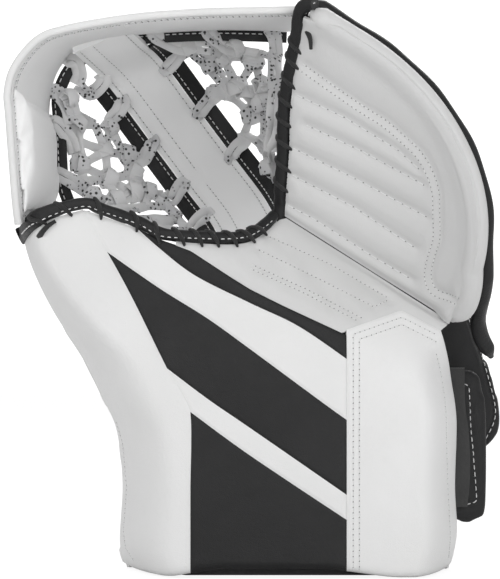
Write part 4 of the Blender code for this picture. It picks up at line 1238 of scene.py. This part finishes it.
def finger_binding():
    """Binding between pocket and finger side, with its stitching and its lace."""
    line = smooth([from_break(-8, 12), from_break(-20.5, 35), from_break(-31, 52), from_break(-38, 66),
                   from_break(-50, 96), from_break(-55.5, 108), from_break(-54.8, 113.5),
                   from_break(-51, 116.5)], 90)
    line = np.concatenate([smooth([(17, 224), (19, 230), tuple(line[0])], 14)[:-1], line])
    steps = np.arange(len(line))
    path = raised(line, finger_depth(line[:, 0], line[:, 1]) + 5 * ease((steps + 4) / 14.0))
    out = np.tile(np.array([-0.35, -0.94, 0]), (len(path), 1))
    swell = 1 + 0.06 * np.sin(steps * 0.9)
    deep = 6.4 * (0.55 + 0.45 * ease(steps / 20.0))
    binding = tube(path, 3.9 * swell, deep, 18, ups=out, power=0.7)
    make("finger_binding_leather", *binding, BLACK, "fingers", ["finger_binding"])
    row = path + np.array([3.3, 0, 0.4]) - BEHIND * (deep * 0.72)[:, None]
    sewn("finger_binding_stitching", row[8:-2], [0.5, -0.85, 0], BINDING_STITCH, THREAD_WHITE, "fingers")
    end = loose_end([(34.5, -62, 337), (36.5, -66, 331), (37, -64, 325)], 10, 2.0, 1.1)
    turns = whip(path, out, 4.0, 6.4, FINGER_WRAPS, -WRAP_LEAN)
    make("finger_lacing", *joined(turns + [end]), CORD_BLACK, "fingers")


def tab():
    """Small leather tab under the lower end of the binding, with a square of stitching."""
    middle = web_at(1, 0.75, 0.93, 4.0)
    grid = np.array([[middle + np.array([x, 0.02 * x * x, z]) for x in np.linspace(-5.5, 5.5, 10)]
                     for z in np.linspace(-9, 11, 12)])
    make("pocket_tab_leather", *closed(grid, grid + BEHIND * 2.2), WHITE, LOW_WEB_FOLD)
    square = [(-3, -4), (3, -4), (3, 4), (-3, 4), (-3, -4)]
    line = evenly([middle + np.array([x, -0.4, z]) for x, z in square], 40)
    sewn("pocket_tab_stitching", line, -BEHIND, TAB_STITCH, THREAD_PALE, LOW_WEB_FOLD)


# ---- Inside and back ----

SLEEVE_WALL = 1.8
SLEEVE_RADIUS = 6.0


def sleeve(name, start, end, half, near, far, surface, body):
    """Fabric sleeve for one finger, open towards the board and at both ends, with hems."""
    start, end = np.array(start), np.array(end)
    run = unit(end - start)
    side = np.array([-run[1], run[0]])
    outer = [(-half, near)]
    for turn in np.linspace(math.pi, math.pi / 2, 7):
        round_x, round_y = SLEEVE_RADIUS * (1 + math.cos(turn)), SLEEVE_RADIUS * (1 - math.sin(turn))
        outer.append((-half + round_x, far - round_y))
    outer = evenly(outer + [(-q, d) for q, d in outer[::-1]], 40)
    grids = []
    for inside in (True, False):
        grid = []
        for t in np.concatenate([[0, 0.01, 0.04, 0.06], np.linspace(0.1, 0.9, 22), [0.94, 0.96, 0.99, 1]]):
            point = start + (end - start) * t
            base = float(surface(point[0], point[1]))
            hem = 0.7 if t < 0.05 or t > 0.95 else 0.0
            row = []
            for q, d in outer:
                share = max(0.0, (d - near) / (far - near))
                if inside:
                    q *= (half - SLEEVE_WALL) / half
                    d = d - SLEEVE_WALL * share
                else:
                    d += (hem + 0.8 * noise.noise(Vector((t * 7, q * 0.12, d * 0.1 + half)))) * share
                row.append((point[0] + side[0] * q, base + d, point[1] + side[1] * q))
            grid.append(row)
        grids.append(grid)
    make(name + "_fabric", *closed(*grids), LINING, body, [name])


# How far each finger's sleeve reaches from the break
SLEEVE_REACH = {"index_sleeve": 84, "middle_sleeve": 86, "ring_sleeve": 80, "little_sleeve": 66}
FINGER_PITCH = 25.5
# Half width, and depths of the open side and the far side behind the leather
FINGER_SLEEVE = (12.0, 32.0, 50.0)
THUMB_SLEEVE = (13.0, 28.0, 46.0)


def sleeves():
    """Four sleeves side by side behind the finger board, and the thumb's behind the cuff."""
    for k, (name, reach) in enumerate(SLEEVE_REACH.items()):
        start, end = (from_break(14 + FINGER_PITCH * k, across) for across in (12, reach))
        sleeve(name, start, end, *FINGER_SLEEVE, finger_depth, "fingers")
    sleeve("thumb_sleeve", (-38, 134), (-86, 182), *THUMB_SLEEVE, cuff_depth, "cuff")


PRESSURE = 4.0
SWELL_FRAMES = 20
VOXEL = 0.0045
PAD_THICK = 11.0
BACKHAND_THICK = 12.0
PAD_CAP = 5.0
BACKHAND_CAP = 6.0
FINGER_PAD_DEPTH = 55
PAD_TRIM = 1.5
PAD_SEAM_DEEP = 1.6
PAD_SEAM_WIDE = 2.2


def inflate(obj, cap, voxel):
    """Swells a closed mesh as padded leather, by cloth simulation, moving no point further than the cap."""
    remesh = obj.modifiers.new("voxels", "REMESH")
    remesh.mode = "VOXEL"
    remesh.voxel_size = voxel
    bake(obj)
    rest = np.array([v.co for v in obj.data.vertices])
    cloth = obj.modifiers.new("swell", "CLOTH")
    cloth.settings.use_pressure = True
    cloth.settings.uniform_pressure_force = PRESSURE
    cloth.settings.effector_weights.gravity = 0
    cloth.point_cache.frame_start = 1
    cloth.point_cache.frame_end = SWELL_FRAMES
    for frame_number in range(1, SWELL_FRAMES + 1):
        bpy.context.scene.frame_set(frame_number)
    bake(obj)
    bpy.context.scene.frame_set(1)
    moved = np.array([v.co for v in obj.data.vertices]) - rest
    long = np.linalg.norm(moved, axis=1)[:, None]
    moved *= np.minimum(1, cap * MM / np.maximum(long, 1e-9))
    obj.data.vertices.foreach_set("co", (rest + moved).ravel())
    fine = obj.modifiers.new("fine", "SUBSURF")
    fine.levels = fine.render_levels = 1
    bake(obj)
    obj.data.shade_smooth()


def bake(obj):
    graph = bpy.context.evaluated_depsgraph_get()
    mesh = bpy.data.meshes.new_from_object(obj.evaluated_get(graph))
    obj.modifiers.clear()
    old, obj.data = obj.data, mesh
    if not mesh.materials:
        mesh.materials.append(old.materials[0])


def pad(name, front, back, material, body, nodes, cap, seams=(), voxel=VOXEL):
    """Padded piece between two arrays of points, swollen, then pulled in along its seams."""
    obj = make(name, *closed(front, back), material, body, nodes)
    inflate(obj, cap, voxel)
    if len(seams):
        sink(obj, seams)
    return obj


def sink(obj, seams):
    """Draws the mesh in, towards its middle surface, near lines of (x, z)."""
    points = np.array([v.co for v in obj.data.vertices]) / MM
    normals = np.array([v.normal for v in obj.data.vertices])
    near = away_from(points[:, [0, 2]], seams)
    points -= normals * (PAD_SEAM_DEEP * np.exp(-(near / PAD_SEAM_WIDE) ** 2))[:, None]
    obj.data.vertices.foreach_set("co", (points * MM).ravel())


def shrunk(grid, distance):
    """The grid's outline drawn in by a distance, as a row for a seam."""
    middle = grid.reshape(-1, grid.shape[-1]).mean(0)
    away = border(grid)[0] - middle
    return middle + away * np.maximum(0.1, 1 - distance / np.linalg.norm(away, axis=1)[:, None])


def slab(grid, face, thick, larger):
    """Front and back of a pad whose face has a depth for each (x, z). Remeshing rounds its edges off."""
    away = grid - grid.reshape(-1, 2).mean(0)
    grid = grid + away * larger / np.maximum(20, np.linalg.norm(away, axis=-1, keepdims=True))
    depth = face(grid[..., 0], grid[..., 1])
    return raised(grid, depth + PAD_TRIM), raised(grid, depth + thick - PAD_TRIM)


def back_pad(name, low, high, left, right, face, thick, body, cap, inside, inset=7.0, larger=1.0,
             voxel=VOXEL):
    """Pad behind the hand or the fingers, sewn round its edge and along some lines inside it."""
    grid = patch(low, high, left, right, 6.0)
    seams = [smooth(shrunk(grid, inset)[::4], 120), *inside]
    obj = pad(name + "_leather", *slab(grid, face, thick, larger), BLACK, body, [name], cap, seams, voxel)
    thread = []
    for direction in (-1, 1):
        for line in seams:
            path, outs = on_mesh(obj, evenly(line, 140), direction, 0.2)
            if len(path) > 4:
                thread += stitches(path, outs, *PAD_STITCH)
    make(name + "_stitching", *joined(thread), THREAD_WHITE, body)


# How far back the face of each pad lies, a little hollow across the hand
def wrist_face(x, z):
    return 52 + 0.00036 * (x - 60) ** 2 + 0 * z


def backhand_face(x, z):
    return 72 + 0.0016 * (x - 90) ** 2 + 0 * z


def finger_back_face(x, z):
    return finger_depth(x, z) + FINGER_PAD_DEPTH


def wrist_pad():
    low = smooth([(66, 62), (90, 40), (120, 31), (141, 27.5), (150, 29.5), (154.5, 35)], 60)
    high = smooth([(66, 128), (95, 132), (125, 130), (150, 124)], 60)
    right = smooth([low[-1], (155.2, 60), (154, 95), high[-1]], 40)
    left, line = evenly([low[0], high[0]], 30), smooth([(100, 42), (102, 80), (101, 124)], 30)
    back_pad("wrist_pad", low, high, left, right, wrist_face, PAD_THICK, "cuff", PAD_CAP, [line], inset=10.5)


def backhand_pad():
    low = smooth([(8, 128), (60, 112), (110, 96), (135, 80), (150, 74), (156, 76)], 60)
    high = smooth([(2, 178), (40, 196), (80, 190), (120, 176), (145, 165)], 60)
    right = smooth([low[-1], (163.5, 86), (164.5, 100), (161, 116), (157, 132), (150.5, 150), high[-1]], 40)
    lines = [smooth([(50, 121), (54, 188)], 20), smooth([(98, 106), (103, 174)], 20)]
    back_pad("backhand_pad", low, high, evenly([low[0], high[0]], 30), right, backhand_face, BACKHAND_THICK,
             "cuff", BACKHAND_CAP, lines, inset=3.0, larger=2.5, voxel=0.003)


def finger_back_pad():
    low = evenly([from_break(2, 14), from_break(104, 14)], 60)
    high = smooth([from_break(0, 88), from_break(30, 94), from_break(70, 86), from_break(100, 62)], 60)
    lines = [evenly([from_break(26.5 + FINGER_PITCH * k, across) for across in (20, 80 - 6 * k)], 20)
             for k in range(3)]
    left, right = [low[0], high[0]], [low[-1], high[-1]]
    back_pad("finger_back_pad", low, high, left, right, finger_back_face, PAD_THICK, "fingers", PAD_CAP, lines)


# Heights of the thumb pad's top at the front and back edges of the wall
THUMB_PAD_TOPS = (304, 291)


def thumb_pad():
    """Firm padding inside the thumb side of the rim, which thins out under the fold at its top."""
    _, _, inner_back, inner_front = rim_edges(240)
    first = 5
    last_front = int(np.argmax(inner_front[:, 2] > THUMB_PAD_TOPS[0]))
    last_back = int(np.argmax(inner_back[:, 2] > THUMB_PAD_TOPS[1]))
    places = np.linspace(0.03, 0.96, 18)[:, None]
    front, back = [], []
    for share in np.linspace(0, 1, 34):
        full = math.sqrt(max(0.0, 1 - max(0.0, (share - 0.7) / 0.3) ** 2.0))
        low, high = (edge[int(round(first + (last - first) * share))]
                     for edge, last in ((inner_front, last_front), (inner_back, last_back)))
        wall = low * (1 - places) + high * places
        swell = 2.8 - 1.0 * places + 3.4 * np.sin(math.pi * places) * full
        back.append(wall + np.array([0.4, 0, 0]))
        front.append(wall + np.array([1.0, 0, 0]) * swell)
    # The thumb pad's leather is painted light, paler than the cuff's white
    pad("thumb_pad_leather", front, back, WHITE_PAINTED_LIGHT, "cuff", ["thumb_pad"], PAD_CAP, voxel=0.0024)


FELT_LEFT = 108
FELT_LOW = 38
FELT_HIGH = 128
FELT_THICK = 5.2


def wrist_felt():
    right = smooth([(141, FELT_LOW), (142.8, 60), (142, 85), (139.5, 105), (139.2, FELT_HIGH)], 30)
    left = [(FELT_LEFT, FELT_LOW), (FELT_LEFT, FELT_HIGH)]
    grid = patch([left[0], right[0]], [left[1], right[-1]], left, right, 3.0)
    depth = wrist_face(grid[..., 0], grid[..., 1]) - 6.4 + 0.25 * waves(grid, 0.3, 2.0)
    front = raised(grid, depth)
    make("wrist_felt_facing", *closed(front, front + BEHIND * FELT_THICK), FELT, "cuff", ["wrist_felt"])


# Path of (x, y), lower and upper edge of each strap
STRAPS = {
    "wrist_strap": ([(-72, 52), (-58, 66), (-20, 77), (30, 80), (75, 76), (104, 68)], 40, 74),
    "backhand_strap": ([(-28, 66), (-14, 88), (12, 98), (60, 95), (100, 92), (128, 94)], 138, 164),
}
STRAP_THICK = 2.9
STRAP_ENDS = ((3, 14), (54, 66))


def strap(name, path, low, high):
    """Webbing strap between two heights, along a path of (x, y), with a crossed square sewn at each end."""
    path = smooth(path, 70)
    side = np.pad(sideways(path), ((0, 0), (0, 1)))
    path = np.pad(path, ((0, 0), (0, 1)))
    up = np.array([0, 0, 1.0])
    heights = np.concatenate([[low, low + 0.4, low + 1.2], np.linspace(low + 3, high - 3, 9),
                              [high - 1.2, high - 0.4, high]])
    rounding = np.array([0.9, 0.35, 0.05] + [0] * 9 + [0.05, 0.35, 0.9]) * 0.8
    near = [path + up * z + side * (0.1 + r) for z, r in zip(heights, rounding)]
    far = [path + up * z + side * (STRAP_THICK - r) for z, r in zip(heights, rounding)]
    make(name + "_webbing", *closed(near, far), WEBBING, name, [name])
    thread = []
    low, high = low + 4, high - 4
    for first, last in STRAP_ENDS:
        square = [(first, low), (last, low), (last, high), (first, high)]
        corners = np.array(square + [square[0], square[2]], float)
        shares = np.linspace(0, 1, 12)[:-1, None]
        line = np.concatenate([a + (b - a) * shares for a, b in zip(corners, corners[1:])])
        on, outs = (read_at(line[:, 0], np.arange(len(path)), rows) for rows in (path, side))
        thread += stitches(on + up * line[:, 1:] + outs * 3.0, outs, *STRAP_STITCH)
    make(name + "_stitching", *joined(thread), THREAD_WHITE, name)


# Path of (x, y), lower and upper end, thickness and material of the soft walls behind the cuff
SOFT_WALLS = {
    "strap_anchor_webbing": ([(-79, 40), (-79, 45.5), (-76, 50.6)], 38, 76, 2.2, WEBBING, "strap_anchor"),
    "heel_gusset_fabric": ([(125, 41), (124, 44), (124, 48)], 42, 122, 2.2, LINING, "heel_gusset"),
    "pad_hinge_fabric": ([(112, 64), (116, 67), (116, 70.5)], 100, 124, 2.8, LINING, "pad_hinge"),
}


def upright(name, path, low, high, thick, material, node):
    """Soft wall between two heights, along a path of (x, y)."""
    path = np.pad(smooth(path, 24), ((0, 0), (0, 1)))
    side = np.pad(sideways(path[:, :2]), ((0, 0), (0, 1)))
    front, back = [], []
    for t in np.linspace(0, 1, 24):
        row = path + np.array([0, 0, low + (high - low) * t])
        fold = 0.5 * folds(len(path), 0.12, t * 4, low)[:, None]
        front.append(row + side * fold)
        back.append(row + side * (thick + fold))
    make(name, *closed(front, back), material, "cuff", [node])


def soft_walls():
    for name, wall in SOFT_WALLS.items():
        upright(name, *wall)
    front = []
    for z in np.linspace(62, 164, 50):
        start = -8 + 40 * float(ease((z - 106) / 20))
        path = smooth([(-36, start), (-39, 0.5 * start + 25), (-36, 45), (-34, 52), (-33, 58)], 24)
        fold = folds(len(path), 0.15, z * 0.06, 4.0)
        front.append(np.stack([path[:, 0] + fold, path[:, 1], np.full(len(path), z)], -1))
    back = np.array(front) + np.array([-2.2, 0.6, 0])
    make("thumb_side_gusset_fabric", *closed(front, back), LINING, "cuff", ["thumb_side_gusset"])


def finger_inside():
    grid = finger_grid(2 * RIM_ROLL + 1, 4.0)
    lining("finger_lining_fabric", grid, finger_depth, FINGER_LINING_DEPTH, CREASE_ABOVE, ["finger_lining"])
    grid = finger_grid(2 * RIM_ROLL + 3, 4.0, 1.5)
    sheets = (point_behind(finger_depth, grid, depth) for depth in BOARD_DEPTHS)
    make("finger_board_sheet", *closed(*sheets), BOARD, "fingers", ["finger_board"])


# ---- Studio ----

FLOOR_HALF = 3.0
FLOOR_DROP = 0.0006
TARGET = (0, 0, 0.18)
# Place in metres, size and power of each lamp
LAMPS = {
    "key": ((-0.7, -1.5, 1.6), 0.9, 9.5),
    "front": ((-0.25, -1.9, 0.15), 1.0, 9),
    "side": ((1.1, -1.4, 0.2), 1.0, 8),
    "back": ((0.3, 1.4, 1.2), 1.2, 16),
}


def floor():
    """Pale floor that the camera sees brighter than the lamps alone would leave it."""
    mesh = bpy.data.meshes.new("floor")
    corners = ((-1, -1), (1, -1), (1, 1), (-1, 1))
    mesh.from_pydata([(x * FLOOR_HALF, y * FLOOR_HALF, -FLOOR_DROP) for x, y in corners], [], [(0, 1, 2, 3)])
    obj = bpy.data.objects.new("floor", mesh)
    material = bpy.data.materials.new("floor")
    material.use_nodes = True
    tree = material.node_tree
    shader = tree.nodes["Principled BSDF"]
    shader.inputs["Base Color"].default_value = (0.85, 0.85, 0.85, 1)
    shader.inputs["Roughness"].default_value = 0.8
    glow = tree.nodes.new("ShaderNodeEmission")
    glow.inputs["Strength"].default_value = 1.12
    seen_by_camera(tree, shader, glow, "Material Output", 0.8)
    mesh.materials.append(material)
    bpy.context.scene.collection.objects.link(obj)


def seen_by_camera(tree, lit, seen, output, share=1.0):
    """Shows a second shader to the camera, up to a share, and the first to every other ray."""
    rays = tree.nodes.new("ShaderNodeLightPath")
    part = tree.nodes.new("ShaderNodeMath")
    part.operation = "MULTIPLY"
    part.inputs[1].default_value = share
    both = tree.nodes.new("ShaderNodeMixShader")
    tree.links.new(rays.outputs["Is Camera Ray"], part.inputs[0])
    tree.links.new(part.outputs[0], both.inputs[0])
    tree.links.new(lit.outputs[0], both.inputs[1])
    tree.links.new(seen.outputs[0], both.inputs[2])
    tree.links.new(both.outputs[0], tree.nodes[output].inputs[0])


def light():
    world = bpy.data.worlds.new("studio")
    world.use_nodes = True
    tree = world.node_tree
    lit = tree.nodes["Background"]
    lit.inputs["Color"].default_value = (1, 1, 1, 1)
    lit.inputs["Strength"].default_value = 0.6
    seen = tree.nodes.new("ShaderNodeBackground")
    seen.inputs["Strength"].default_value = 1.6
    seen_by_camera(tree, lit, seen, "World Output")
    bpy.context.scene.world = world
    for name, (place_at, size, power) in LAMPS.items():
        lamp = bpy.data.lights.new(name, "AREA")
        lamp.energy = power
        lamp.size = size
        obj = bpy.data.objects.new(name, lamp)
        obj.location = place_at
        obj.rotation_euler = (Vector(TARGET) - obj.location).to_track_quat("-Z", "Y").to_euler()
        bpy.context.scene.collection.objects.link(obj)


SENSOR = 36.0


def camera():
    bpy.context.scene.view_settings.view_transform = "Standard"
    data = bpy.data.cameras.new("camera")
    data.sensor_fit = "HORIZONTAL"
    data.sensor_width = SENSOR
    data.lens = SENSOR * CAMERA_DISTANCE / VIEW_WIDTH
    obj = bpy.data.objects.new("camera", data)
    obj.location = (0, (-CAMERA_DISTANCE - CUFF_FRONT + SHIFT_Y) * MM, CAMERA_HEIGHT * MM)
    obj.rotation_euler = (math.radians(90), 0, 0)
    bpy.context.scene.collection.objects.link(obj)
    bpy.context.scene.camera = obj


cuff_leather()
palm_leather()
break_shade_liner()
cuff_edges()
cuff_lining()
lip()
pocket_leather()
lacing()
finger_leather()
finger_rim()
finger_outer_binding()
finger_edge()
finger_binding()
tab()
finger_inside()
sleeves()
wrist_pad()
backhand_pad()
finger_back_pad()
thumb_pad()
wrist_felt()
soft_walls()
for strap_name, strap_shape in STRAPS.items():
    strap(strap_name, *strap_shape)
floor()
light()
camera()
